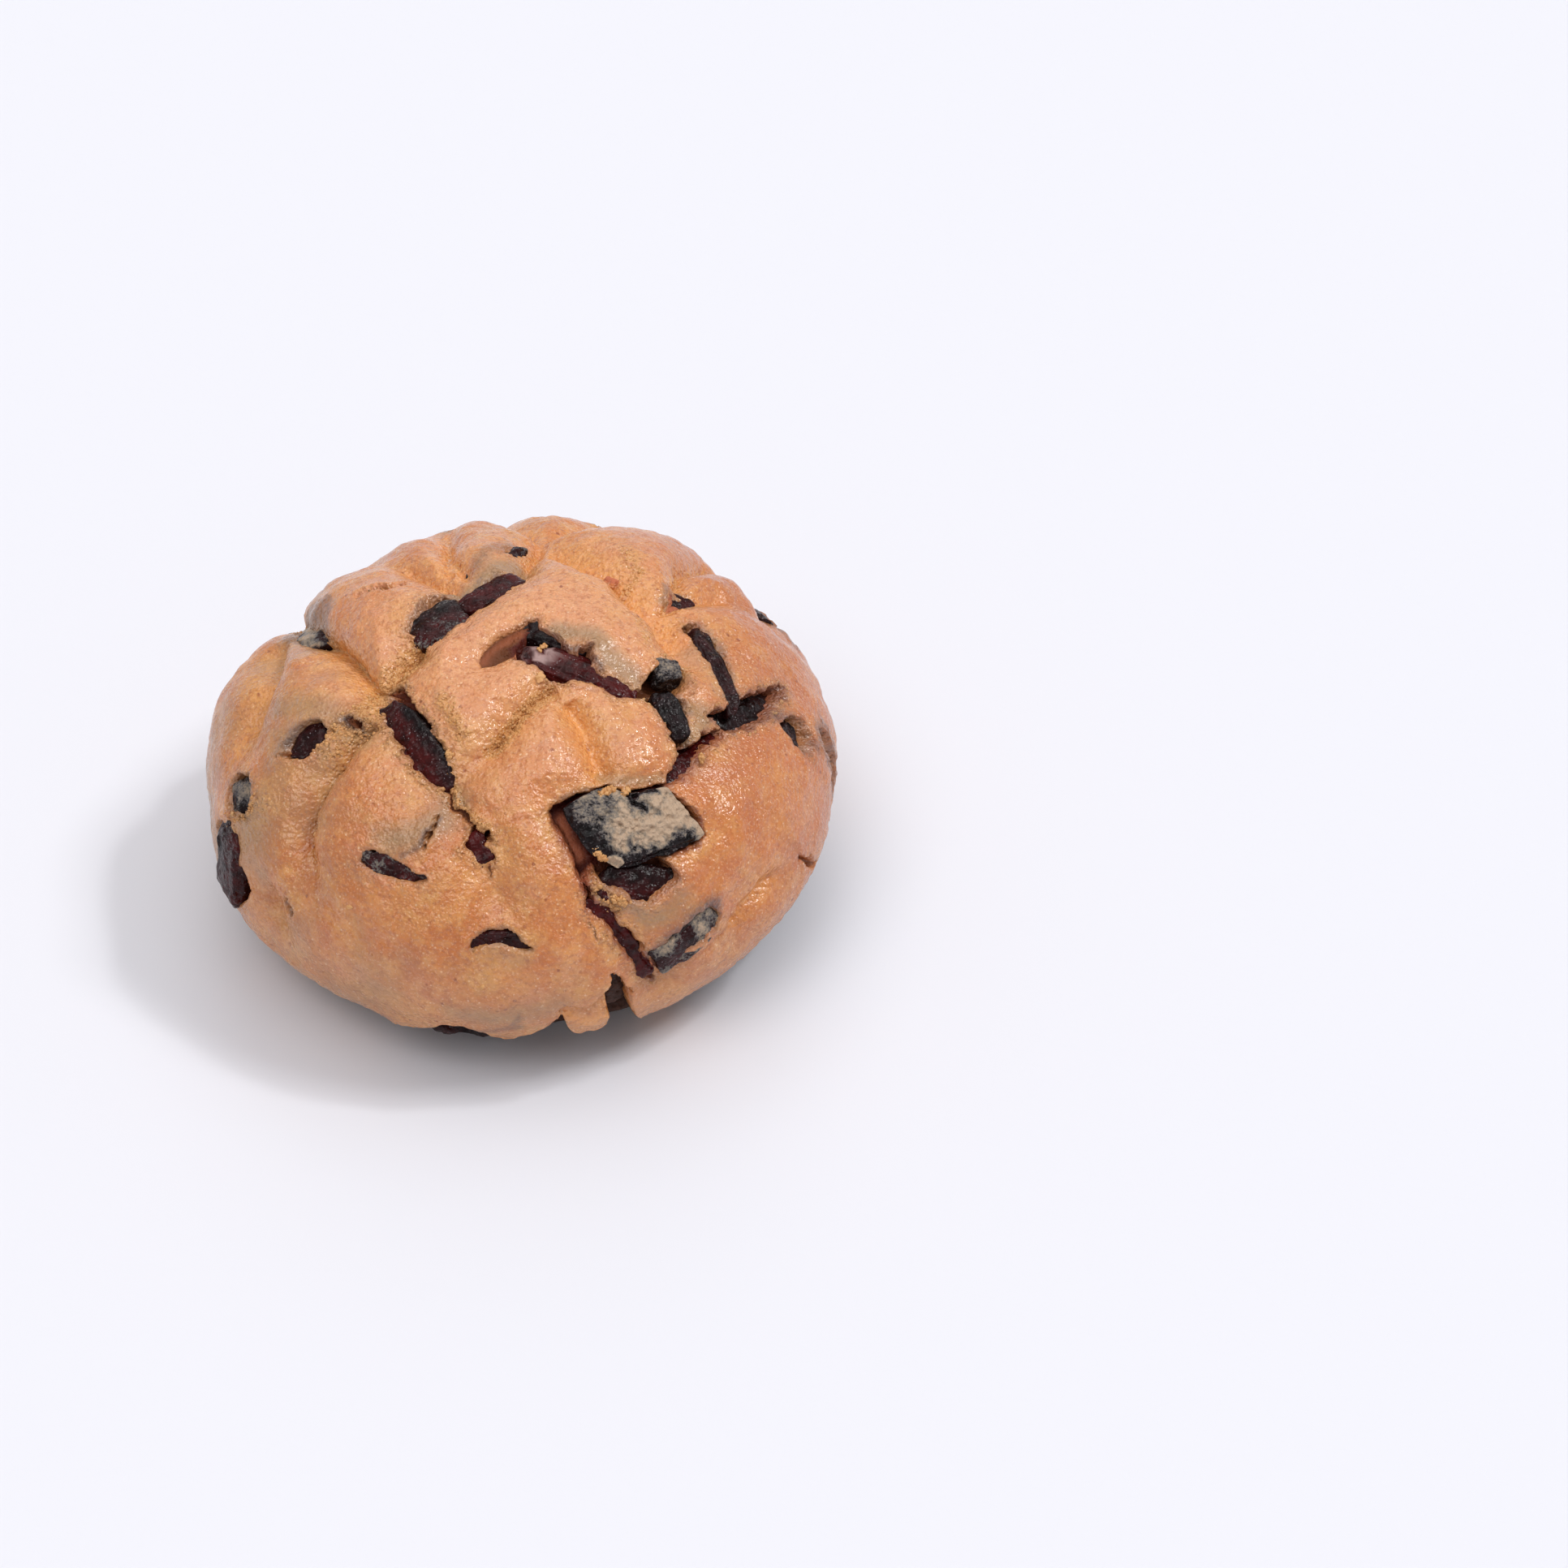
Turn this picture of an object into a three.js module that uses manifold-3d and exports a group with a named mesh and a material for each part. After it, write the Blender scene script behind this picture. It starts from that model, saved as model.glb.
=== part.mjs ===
// Melon pan: a cocoa bread roll inside a scored, cracked cookie crust with dried fruit pieces.
// Millimetres, +Z up, resting on Z = 0. Every outer surface is a star shape seen from one inner centre,
// so each body is a sphere whose radius is worked out by functions of the direction.
import * as THREE from 'three';
import { mergeVertices } from 'three/addons/utils/BufferGeometryUtils.js';
import Module from 'manifold-3d';

const wasm = await Module();
wasm.setup();

// ---- driving sizes (mm unless said) -------------------------------------------------
const RADIUS = 52.5;            // bun radius at its widest
const HEIGHT = 56.5;            // floor to crown, between the grooves
const CENTRE_Z = 22;            // height of the widest ring and of the star centre
const CROWN_POWER = 1.9;        // roundness of the dome above the widest ring
const SKIRT_POWER = 2.46;       // roundness below it
const SKIRT_DROP = 26;          // how fast the skirt turns inwards
const CRUST_THICK = 6.4;        // cookie crust over the dome and sides
const CRUST_MIN = 1.0;          // crust left at the bottom of the deepest crack
const GAP = 0.4;                // clearance between touching bodies
const RIM_Z = 6.6;              // lower edge of the crust above the floor
const BREAD_RADIUS = 48.6;      // bread below the crust edge
const BREAD_DROP = 30;          // makes the flat base about 74 across
const BREAD_POWER = 2.4;
const BREAD_SWELL = 0.065;      // extra width of the bread where the crust ends high
const SHIFT = [0.84, -0.12];    // brings the outline box over the origin
const FINENESS = 0.55;          // facet tolerance of the crust
const TIDY = 0.08;               // merges slivers left by the cuts
const CRUST_COLS = 108, CRUST_ROWS = 56;
const BREAD_COLS = 30, BREAD_ROWS = 16;
const FRUIT_COLS = 8, FRUIT_ROWS = 4;

// uneven outline: share of the radius for each wave round the bun, [waves, cos, sin]
const LOBES_LEVEL = [[1, 0.0068, 0.0001], [2, 0.0047, -0.0086], [3, -0.0076, 0.0126], [4, 0.0021, 0.0032]];
const LOBES_RISING = [[1, 0.0368, 0.0114], [2, -0.0020, 0.0051], [3, 0.0010, 0.0274]];

// soft scored valleys: half width, depth, path as [azimuth from front, latitude] in degrees
const SCORE = [
  [4.6, 2.4, [[-136, 2], [-122.6, 17.4], [-99.9, 40], [-68, 48], [-40.1, 45.5], [-21.2, 36], [-11, 27.2], [-7.5, 18.9]]],
  [3.8, 1.6, [[-122.6, 17.4], [-94.5, 26.5], [-87.3, 24], [-80.9, 19.4]]],
  [2.6, 1.3, [[-50.7, 44.2], [-53.1, 34.2], [-52.4, 25.4], [-49.4, 17.8], [-45.6, 13.3]]],
  [4.6, 2.6, [[146, 3], [154, 22], [168.7, 39.8], [175.1, 68.4], [-106.4, 73.5], [-76.5, 60.7], [-66.6, 49.2]]],
  [3.2, 1.7, [[-20, 37.6], [-11.4, 44.8], [-5.4, 52.5], [13, 61], [30.8, 63.3]]],
  [2.4, 1.3, [[17.7, 57.4], [23.3, 51.1], [22.1, 39.7], [22.1, 34.6]]],
  [4.2, 2.0, [[-31.3, 71.9], [15.2, 78.3], [36.3, 64.2], [47.9, 50.8], [58, 45], [49, 37.8], [45, 32.7]]],
  [3.4, 1.7, [[61.4, 30.9], [47.4, 32.4], [35, 31.4], [22.2, 34.1], [8.7, 33.2]]],
  [3.4, 1.8, [[7.7, 32.9], [12.8, 21.7], [12.1, 15.2], [16, 8], [20.9, -3.2]]],
  [2.0, 0.8, [[36.5, 20.9], [20, 21], [13.6, 20.5]]],
  [4.2, 2.1, [[-166, 2], [-176, 20], [168.7, 39.8], [158.3, 50.4], [136.6, 55.2], [124.5, 53.5], [105.6, 52.9], [94.5, 48.5], [76.6, 44.5]]],
  [2.8, 1.2, [[100.4, 50.7], [109.9, 40.9], [112.2, 28], [108, 14]]],
  [2.4, 0.9, [[96.8, 43.8], [91.4, 39.5], [80, 36], [69.4, 31.2], [79, 22.9]]],
  [3.6, 1.8, [[-143, 26], [-141.6, 54.6], [-148, 69.8]]],
  [2.4, 1.1, [[-163.3, 24.9], [-155.8, 48.8], [-151.4, 66]]],
  [2.0, 0.8, [[-54.1, 5.5], [-51.6, 0.9], [-49.8, -1.3]]],
  [1.8, 0.9, [[36.3, 1], [44.9, 4.3], [49.8, 4.3]]],
  [3.2, 1.5, [[112, 42], [124, 36], [131, 20], [122, 2]]],
  [3.4, 1.7, [[-176, 16], [-158, 14], [-143, 15], [-126, 14]]],
  [3.2, 1.6, [[110, 18], [131, 12], [154, 14], [-176, 14]]],
  [2.6, 1.1, [[-105, 2], [-116, 12], [-122, 20]]],
];
// narrow open cracks: half width, depth, path
const CRACK = [
  [1.75, 4.6, [[-62.9, 50.2], [-47.8, 47.9], [-33.5, 43.4], [-23.2, 38.1]]],
  [1.5, 4.2, [[-14.3, 29.7], [-11.9, 27.1], [-9.7, 24.8]]],
  [1.9, 4.6, [[-90.7, 62.1], [-98.8, 69.7], [-128.6, 74.1], [-165.4, 72.2], [175.1, 68.4]]],
  [1.7, 2.2, [[-30.1, 70.3], [-20.8, 75.7], [4.2, 81.3]]],
  [2.3, 5.0, [[11.6, 79.7], [34.1, 70.2], [42.2, 59.2], [48.6, 51.1]]],
  [2.4, 3.6, [[65.7, 48], [63.4, 46.2]]],
  [2.2, 4.4, [[56.5, 43.7], [50.9, 40.4], [48.4, 37.2]]],
  [1.8, 5.0, [[35.2, 31.3], [43.4, 32.9], [53.3, 32.6], [60.7, 30.7]]],
  [1.9, 5.0, [[62.9, 34.9], [68.6, 29.6], [78.6, 23.8]]],
  [0.9, 3.2, [[96.3, 42.5], [89.5, 39.1], [78.1, 35.9], [68.1, 32.3]]],
  [1.3, 4.6, [[5.7, 32.7], [8.8, 28.4], [11.5, 25.2], [13.1, 20.9]]],
  [1.0, 3.6, [[34.3, 29.6], [36, 25.6], [36.8, 21.7], [32.9, 20.4]]],
  [2.7, 4.6, [[14.5, 20.3], [20.7, 18.3], [26.8, 17.2]]],
  [1.15, 4.6, [[10.3, 18.3], [11.6, 14.2], [15, 10.6], [17.8, 4.7], [20.9, -2.5]]],
  [1.25, 2.6, [[-35.6, 19.6], [-28.5, 19.5], [-22.1, 20.3]]],
  [1.15, 2.2, [[-11.3, 9.6], [-6.9, 11.6], [-1.2, 10.1]]],
  [1.3, 3.2, [[81.8, 11], [81.9, 3.5], [81.3, -1.6]]],
  [1.7, 4.6, [[141, 17], [136, 12], [131, 6]]],
  [1.6, 4.6, [[-148, 15], [-158, 12], [-168, 9]]],
  [1.5, 4.2, [[150, 4], [156, 12], [161, 19]]],
  [1.2, 2.6, [[-128, 7], [-120, 9]]],
];
// dried fruit: azimuth, latitude, turn from east, half length, half width, half thickness, depth of its top
const FRUIT = {
  left_crack: [-37.8, 45.2, -26, 9.8, 3.4, 1.4, 2.4],
  left_hole: [-11.9, 27.2, -51, 3.6, 2.4, 1.3, 2.6],
  crown_black: [-99.8, 68.3, 134, 5.6, 3.9, 1.8, 1.6],
  crown_red: [-158.5, 73.6, -162, 6.2, 3, 1.5, 2.2],
  centre_red: [38.3, 62.6, -66, 8.6, 3, 1.3, 2.6],
  centre_black: [48, 74.8, -77, 6, 2.7, 1.85, 1.5],
  pit_grey: [67.3, 48, -49, 2.9, 2.8, 2.2, 0.8],
  pit_black: [51.6, 41.1, -119, 4.4, 2.6, 1.7, 1.8],
  right_red: [48, 31.9, -3, 8.2, 2.9, 1.1, 3],
  right_dark: [70.3, 29.3, -38, 8, 2.8, 1.2, 2.8],
  right_long: [80.2, 37.5, -152, 8.6, 2.2, 1.95, 1.3],
  diamond: [23.4, 27.3, -27, 10.8, 6, 2.25, 0.7],
  purple_hole: [20.8, 17.6, -17, 6.6, 3, 1.3, 2.6],
  front_red: [15, 8, -63, 9.2, 2.7, 1.1, 3],
  skin_band: [27.4, 5, 21, 7.2, 3.4, 2.15, 0.9],
  eye: [-28.9, 20.3, 2, 6.3, 2.6, 2, 1],
  low_slit: [-6.2, 10.8, 2, 5.1, 2.2, 2, 0.8],
  west: [-66.4, 32.7, 61, 3.9, 3.4, 2.2, -0.4],
  west_grey: [-69.9, 15.9, -31, 3.6, 3.6, 2.2, 0.2],
  west_rim: [-66.4, 3, -83, 7.8, 4.6, 2.4, -0.4],
  east_slit: [74.4, 17.8, -155, 3.5, 2.4, 2, -0.4],
  east_rim: [81, 5.6, -92, 6.4, 4.6, 2.2, 0.4],
  rim_low: [-12.8, -19.2, -1, 5.2, 2.4, 2.4, -2.3],
  high_left: [-115.4, 29.3, 155, 4.4, 6.6, 2.2, 0.6],
  high_grey: [-172.1, 55.8, -126, 6.8, 3.3, 2.2, 0.5],
  high_right: [111, 42.3, -116, 3, 2.4, 1.8, 0.7],
  back_crack_a: [136.5, 12, 48, 7.6, 3, 1.4, 2.4],
  back_crack_b: [-158, 12, 17, 7.4, 3, 1.4, 2.4],
  back_crack_c: [155.5, 11.5, 54, 6.4, 2.8, 1.4, 2.4],
  back_slab: [176, 8, 25, 7, 4.4, 2.4, 0.2],
  back_low: [-140, 6, -30, 5.4, 3.2, 2.2, 0.3],
  back_side: [116, 10, 70, 5.8, 3.4, 2.2, 0.3],
  back_slit: [-124, 8, 12, 4.6, 2.4, 2, 0.9],
  back_high: [-171, 20, 20, 4.8, 3.2, 2, 0.4],
};

// ---- outline functions ---------------------------------------------------------------
const rad = Math.PI / 180;
const direction = (az, lat) => [Math.sin(az * rad) * Math.cos(lat * rad), -Math.cos(az * rad) * Math.cos(lat * rad), Math.sin(lat * rad)];
const unit = (v) => { const l = Math.hypot(v[0], v[1], v[2]); return [v[0] / l, v[1] / l, v[2] / l]; };
const smooth = (a, b, x) => { const t = Math.min(1, Math.max(0, (x - a) / (b - a))); return t * t * (3 - 2 * t); };

function lobes([x, y, z]) {
  const h = Math.hypot(x, y), t = Math.atan2(x, -y);
  let s = 1;
  for (const [k, c, d] of LOBES_LEVEL) s += h ** k * (c * Math.cos(k * t) + d * Math.sin(k * t));
  for (const [k, c, d] of LOBES_RISING) s += z * h ** k * (c * Math.cos(k * t) + d * Math.sin(k * t));
  return s;
}
function oval(across, up, radius, rise, power) {
  return ((across / radius) ** power + (Math.abs(up) / rise) ** power) ** (-1 / power);
}
function envelope(u) {
  const c = Math.hypot(u[0], u[1]);
  return lobes(u) * (u[2] >= 0 ? oval(c, u[2], RADIUS, HEIGHT - CENTRE_Z, CROWN_POWER) : oval(c, u[2], RADIUS, SKIRT_DROP, SKIRT_POWER));
}
const onEnvelope = (u) => { const r = envelope(u); return [u[0] * r, u[1] * r, u[2] * r]; };

// paths are laid on the envelope in short steps
function layPath(path) {
  const pts = [];
  for (let i = 0; i + 1 < path.length; i++) {
    const a = direction(...path[i]), b = direction(...path[i + 1]);
    const n = Math.max(1, Math.ceil(Math.acos(Math.min(1, a[0] * b[0] + a[1] * b[1] + a[2] * b[2])) / (4 * rad)));
    for (let j = i ? 1 : 0; j <= n; j++) pts.push(onEnvelope(unit(a.map((v, k) => v + (b[k] - v) * j / n))));
  }
  return pts;
}
const LAID_SCORE = SCORE.map(([w, d, p]) => ({ w, d, p: layPath(p) }));
const LAID_CRACK = CRACK.map(([w, d, p]) => ({ w, d, p: layPath(p) }));

function pathDistance(q, pts) {
  let best = 1e9;
  for (let i = 0; i + 1 < pts.length; i++) {
    const a = pts[i], b = pts[i + 1];
    const e = [b[0] - a[0], b[1] - a[1], b[2] - a[2]], f = [q[0] - a[0], q[1] - a[1], q[2] - a[2]];
    const t = Math.min(1, Math.max(0, (e[0] * f[0] + e[1] * f[1] + e[2] * f[2]) / (e[0] ** 2 + e[1] ** 2 + e[2] ** 2)));
    best = Math.min(best, Math.hypot(f[0] - t * e[0], f[1] - t * e[1], f[2] - t * e[2]));
  }
  return best;
}
// depth of the worked surface under the envelope
function relief(u) {
  const q = onEnvelope(u);
  let valley = 0, open = 0;
  for (const { w, d, p } of LAID_SCORE) {
    const g = d * Math.exp(-((pathDistance(q, p) / w) ** 1.6));
    valley = Math.max(valley, g) + 0.25 * Math.min(valley, g);
  }
  for (const { w, d, p } of LAID_CRACK) {
    const s = pathDistance(q, p) / (w + 0.5);
    open = Math.max(open, d * (1 - smooth(0.45, 1.25, s)));
  }
  return Math.min(valley + open * 0.8, CRUST_THICK - CRUST_MIN);
}
const hump = (az, at, width, power) => Math.exp(-(Math.abs((((az - at + 540) % 360) - 180) / width) ** power));
// lower edge of the crust: much higher on the right, where the bread swells out under it, with small scallops
function rimHeight(az) {
  return RIM_Z + 0.8 * Math.sin(3 * az * rad + 0.6) + 0.6 * Math.sin(7 * az * rad) + 14 * hump(az, 68, 28, 2) + 2.4 * hump(az, -12, 17, 4) - 1.6 * hump(az, 7, 4, 2) + 3 * hump(az, 150, 18, 2);
}

// ---- bodies ----------------------------------------------------------------------------
function starGeometry(cols, rows, radiusOf) {
  const g = new THREE.SphereGeometry(1, cols, rows);
  g.rotateX(Math.PI / 2);
  const pos = g.attributes.position;
  for (let i = 0; i < pos.count; i++) {
    const u = unit([pos.getX(i), pos.getY(i), pos.getZ(i)]);
    const r = radiusOf(u);
    pos.setXYZ(i, u[0] * r + SHIFT[0], u[1] * r + SHIFT[1], u[2] * r + CENTRE_Z);
  }
  return g;
}
function toSolid(geometry) {
  const g = geometry.clone();
  g.deleteAttribute('normal');
  g.deleteAttribute('uv');
  const m = mergeVertices(g, 1e-4);
  return new wasm.Manifold(new wasm.Mesh({ numProp: 3, vertProperties: Float32Array.from(m.attributes.position.array), triVerts: Uint32Array.from(m.index.array) }));
}
function toGeometry(solid) {
  const m = solid.getMesh();
  const g = new THREE.BufferGeometry();
  g.setAttribute('position', new THREE.BufferAttribute(Float32Array.from(m.vertProperties), 3));
  g.setIndex(Array.from(m.triVerts));
  g.computeVertexNormals();
  return g;
}

const innerRadius = (u) => envelope(u) - CRUST_THICK;
const onFloor = (u, r) => (u[2] < 0 ? Math.min(r, CENTRE_Z / -u[2]) : r);
const breadTop = (u) => onFloor(u, innerRadius(u) - GAP);
const swell = (u) => 1 + BREAD_SWELL * hump(Math.atan2(u[0], -u[1]) / rad, 66, 24, 2);
const breadFoot = (u) => onFloor(u, lobes(u) * swell(u) * oval(Math.hypot(u[0], u[1]), u[2], BREAD_RADIUS, u[2] < 0 ? BREAD_DROP : HEIGHT, BREAD_POWER));

// crust: worked outer skin, hollow inside, trimmed along the wavy rim, split by the front notch
const outer = toSolid(starGeometry(CRUST_COLS, CRUST_ROWS, (u) => envelope(u) - relief(u)));
const hollow = toSolid(starGeometry(BREAD_COLS, BREAD_ROWS, innerRadius));
const trim = new THREE.CylinderGeometry(90, 90, 60, 48, 1);
trim.rotateX(Math.PI / 2);
for (let i = 0, p = trim.attributes.position; i < p.count; i++) {
  const az = Math.atan2(p.getX(i), -p.getY(i)) / rad;
  const top = p.getZ(i) > 0, ring = Math.hypot(p.getX(i), p.getY(i)) > 1;
  p.setZ(i, top ? (ring ? RIM_Z + (rimHeight(az) - RIM_Z) * 90 / 47 : RIM_Z) : -40);
}
const NOTCH = { az: 13.8, top: 24, half: 2.4, deep: 9 };
const notch = new THREE.CylinderGeometry(0.01, NOTCH.half, NOTCH.top + 4, 4, 1);
notch.rotateX(Math.PI / 2);
notch.scale(1, NOTCH.deep / NOTCH.half, 1);
notch.translate(0, 0, (NOTCH.top + 4) / 2 - 4);
notch.applyMatrix4(new THREE.Matrix4().makeRotationZ(NOTCH.az * rad).multiply(new THREE.Matrix4().makeTranslation(0, -50, 0)));
notch.translate(SHIFT[0], SHIFT[1], 0);
let crust = outer.simplify(FINENESS).subtract(hollow).subtract(toSolid(trim)).subtract(toSolid(notch));
// bread: fills the hollow and swells out again below the rim
const foot = toSolid(starGeometry(BREAD_COLS, BREAD_ROWS, breadFoot)).intersect(toSolid(trim).translate([0, 0, -GAP]));
let bread = toSolid(starGeometry(BREAD_COLS, BREAD_ROWS, breadTop)).add(foot);

// fruit pieces: rounded blocks set along the surface, each in a pocket of its own
function block(spec, grow, seed) {
  const [az, lat, turn, a, b, c, sink] = spec;
  const u = direction(az, lat), p = onEnvelope(u);
  const e = [Math.cos(az * rad), Math.sin(az * rad), 0];
  const n0 = new THREE.Vector3(...u), east = new THREE.Vector3(...e), north = new THREE.Vector3().crossVectors(n0, east);
  const step = 0.03;
  const pe = onEnvelope(unit([u[0] + e[0] * step, u[1] + e[1] * step, u[2]]));
  const pn = onEnvelope(unit([u[0] + north.x * step, u[1] + north.y * step, u[2] + north.z * step]));
  const n = new THREE.Vector3(pe[0] - p[0], pe[1] - p[1], pe[2] - p[2]).cross(new THREE.Vector3(pn[0] - p[0], pn[1] - p[1], pn[2] - p[2])).normalize();
  const x = east.clone().multiplyScalar(Math.cos(turn * rad)).addScaledVector(north, Math.sin(turn * rad));
  x.addScaledVector(n, -x.dot(n)).normalize();
  const y = new THREE.Vector3().crossVectors(n, x);
  const g = new THREE.SphereGeometry(1, FRUIT_COLS, FRUIT_ROWS);
  g.rotateX(Math.PI / 2);
  const pos = g.attributes.position, boxy = (v) => Math.sign(v) * Math.abs(v) ** 0.62;
  for (let i = 0; i < pos.count; i++) {
    const q = unit([pos.getX(i), pos.getY(i), pos.getZ(i)]);
    const k = 1 + 0.07 * Math.sin(3 * q[0] + 2 * q[1] + seed) + 0.05 * Math.sin(4 * q[1] - 3 * q[2] + 2 * seed);
    let X = boxy(q[0]) * (a * k + grow), Y = boxy(q[1]) * (b * k + grow);
    const Z = boxy(q[2]) * (c * k + grow) - (X * X + Y * Y) / 130;
    X += 0.22 * Math.sin(seed) * Y;
    pos.setXYZ(i, X, Y, Z);
  }
  const m = new THREE.Matrix4().makeBasis(x, y, n);
  m.setPosition(p[0] - n.x * (sink + c) + SHIFT[0], p[1] - n.y * (sink + c) + SHIFT[1], p[2] - n.z * (sink + c) + CENTRE_Z);
  g.applyMatrix4(m);
  return toSolid(g);
}
const fruits = [];
const pockets = [];
Object.entries(FRUIT).forEach(([name, spec], i) => {
  let piece = block(spec, 0, i + 1);
  for (const pocket of pockets) piece = piece.subtract(pocket);
  const parts = piece.decompose().sort((p, q) => q.volume() - p.volume());
  fruits.push([name, parts[0]]);
  pockets.push(block(spec, GAP, i + 1));
});
const allPockets = wasm.Manifold.union(pockets);
const largest = (solid) => solid.decompose().sort((p, q) => q.volume() - p.volume())[0];
crust = largest(crust.subtract(allPockets)).simplify(TIDY);
bread = largest(bread.subtract(allPockets)).simplify(0.02);

// ---- named nodes -----------------------------------------------------------------------
const material = (hex, roughness) => new THREE.MeshStandardMaterial({ color: new THREE.Color(hex), roughness, metalness: 0 });
const bun = new THREE.Group();
bun.name = 'melon_pan';
function addNode(name, solid, mat) {
  const mesh = new THREE.Mesh(toGeometry(solid), mat);
  mesh.name = name;
  bun.add(mesh);
}
addNode('bread', bread, material('#3a1f17', 0.9));
addNode('cookie_crust', crust, material('#d99a5b', 0.7));
fruits.forEach(([name, solid]) => addNode('fruit_' + name, solid, material(name.includes('red') ? '#4a1218' : '#2a1b22', 0.5)));

export default bun;
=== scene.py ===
import bpy, math
import numpy as np
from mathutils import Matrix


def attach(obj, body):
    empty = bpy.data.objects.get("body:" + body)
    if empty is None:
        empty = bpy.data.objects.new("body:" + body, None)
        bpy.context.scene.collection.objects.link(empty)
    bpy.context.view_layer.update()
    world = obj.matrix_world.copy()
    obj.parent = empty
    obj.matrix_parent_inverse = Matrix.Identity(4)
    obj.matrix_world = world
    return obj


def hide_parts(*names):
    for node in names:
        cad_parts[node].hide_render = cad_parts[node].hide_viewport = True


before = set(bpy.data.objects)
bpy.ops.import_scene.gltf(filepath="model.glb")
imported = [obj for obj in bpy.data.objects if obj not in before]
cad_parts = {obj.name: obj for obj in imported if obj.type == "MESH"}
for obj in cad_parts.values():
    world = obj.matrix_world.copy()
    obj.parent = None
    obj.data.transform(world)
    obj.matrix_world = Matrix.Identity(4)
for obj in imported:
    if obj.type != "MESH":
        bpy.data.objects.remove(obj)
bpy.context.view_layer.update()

MM = 0.001

# ------------------------------------------------------------------ sizes (mm, degrees)
RADIUS, HEIGHT, CENTRE_Z = 52.5, 56.5, 22.0
CROWN_POWER, SKIRT_POWER, SKIRT_DROP = 1.9, 2.46, 26.0
CRUST_THICK, GAP = 6.4, 0.4
RIM_Z = 6.6
BREAD_RADIUS, BREAD_DROP, BREAD_POWER, BREAD_SWELL = 48.6, 30.0, 2.4, 0.065
SHIFT = np.array([0.84, -0.12, 0.0])
LOBES_LEVEL = [(1, 0.0068, 0.0001), (2, 0.0047, -0.0086), (3, -0.0076, 0.0126), (4, 0.0021, 0.0032)]
LOBES_RISING = [(1, 0.0368, 0.0114), (2, -0.0020, 0.0051), (3, 0.0010, 0.0274)]

# scored valleys: half width, depth, orange tint, path of (azimuth from front, latitude)
SCORE = [
    (4.6, 2.4, 0.2, [(-136, 2), (-122.6, 17.4), (-99.9, 40), (-68, 48), (-40.1, 45.5), (-21.2, 36), (-11, 27.2), (-7.5, 18.9)]),
    (3.8, 1.6, 0.9, [(-122.6, 17.4), (-94.5, 26.5), (-87.3, 24), (-80.9, 19.4)]),
    (2.6, 1.3, 0.1, [(-50.7, 44.2), (-53.1, 34.2), (-52.4, 25.4), (-49.4, 17.8), (-45.6, 13.3)]),
    (4.6, 2.6, 0.2, [(146, 3), (154, 22), (168.7, 39.8), (175.1, 68.4), (-106.4, 73.5), (-76.5, 60.7), (-66.6, 49.2)]),
    (3.2, 1.7, 0.1, [(-20, 37.6), (-11.4, 44.8), (-5.4, 52.5), (13, 61), (30.8, 63.3)]),
    (2.4, 1.3, 1.0, [(17.7, 57.4), (23.3, 51.1), (22.1, 39.7), (22.1, 34.6)]),
    (4.2, 2.0, 0.3, [(-31.3, 71.9), (15.2, 78.3), (36.3, 64.2), (47.9, 50.8), (58, 45), (49, 37.8), (45, 32.7)]),
    (3.4, 1.7, 0.3, [(61.4, 30.9), (47.4, 32.4), (35, 31.4), (22.2, 34.1), (8.7, 33.2)]),
    (3.4, 1.8, 0.2, [(7.7, 32.9), (12.8, 21.7), (12.1, 15.2), (16, 8), (20.9, -3.2)]),
    (2.0, 0.8, 0.4, [(36.5, 20.9), (20, 21), (13.6, 20.5)]),
    (4.2, 2.1, 0.8, [(-166, 2), (-176, 20), (168.7, 39.8), (158.3, 50.4), (136.6, 55.2), (124.5, 53.5), (105.6, 52.9), (94.5, 48.5), (76.6, 44.5)]),
    (2.8, 1.2, 0.5, [(100.4, 50.7), (109.9, 40.9), (112.2, 28), (108, 14)]),
    (2.4, 0.9, 0.5, [(96.8, 43.8), (91.4, 39.5), (80, 36), (69.4, 31.2), (79, 22.9)]),
    (3.6, 1.8, 0.8, [(-143, 26), (-141.6, 54.6), (-148, 69.8)]),
    (2.4, 1.1, 0.6, [(-163.3, 24.9), (-155.8, 48.8), (-151.4, 66)]),
    (2.0, 0.8, 0.2, [(-54.1, 5.5), (-51.6, 0.9), (-49.8, -1.3)]),
    (1.8, 0.9, 0.9, [(36.3, 1), (44.9, 4.3), (49.8, 4.3)]),
    (3.2, 1.5, 0.5, [(112, 42), (124, 36), (131, 20), (122, 2)]),
    (3.4, 1.7, 0.3, [(-176, 16), (-158, 14), (-143, 15), (-126, 14)]),
    (3.2, 1.6, 0.4, [(110, 18), (131, 12), (154, 14), (-176, 14)]),
    (2.6, 1.1, 0.6, [(-105, 2), (-116, 12), (-122, 20)]),
]
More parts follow.
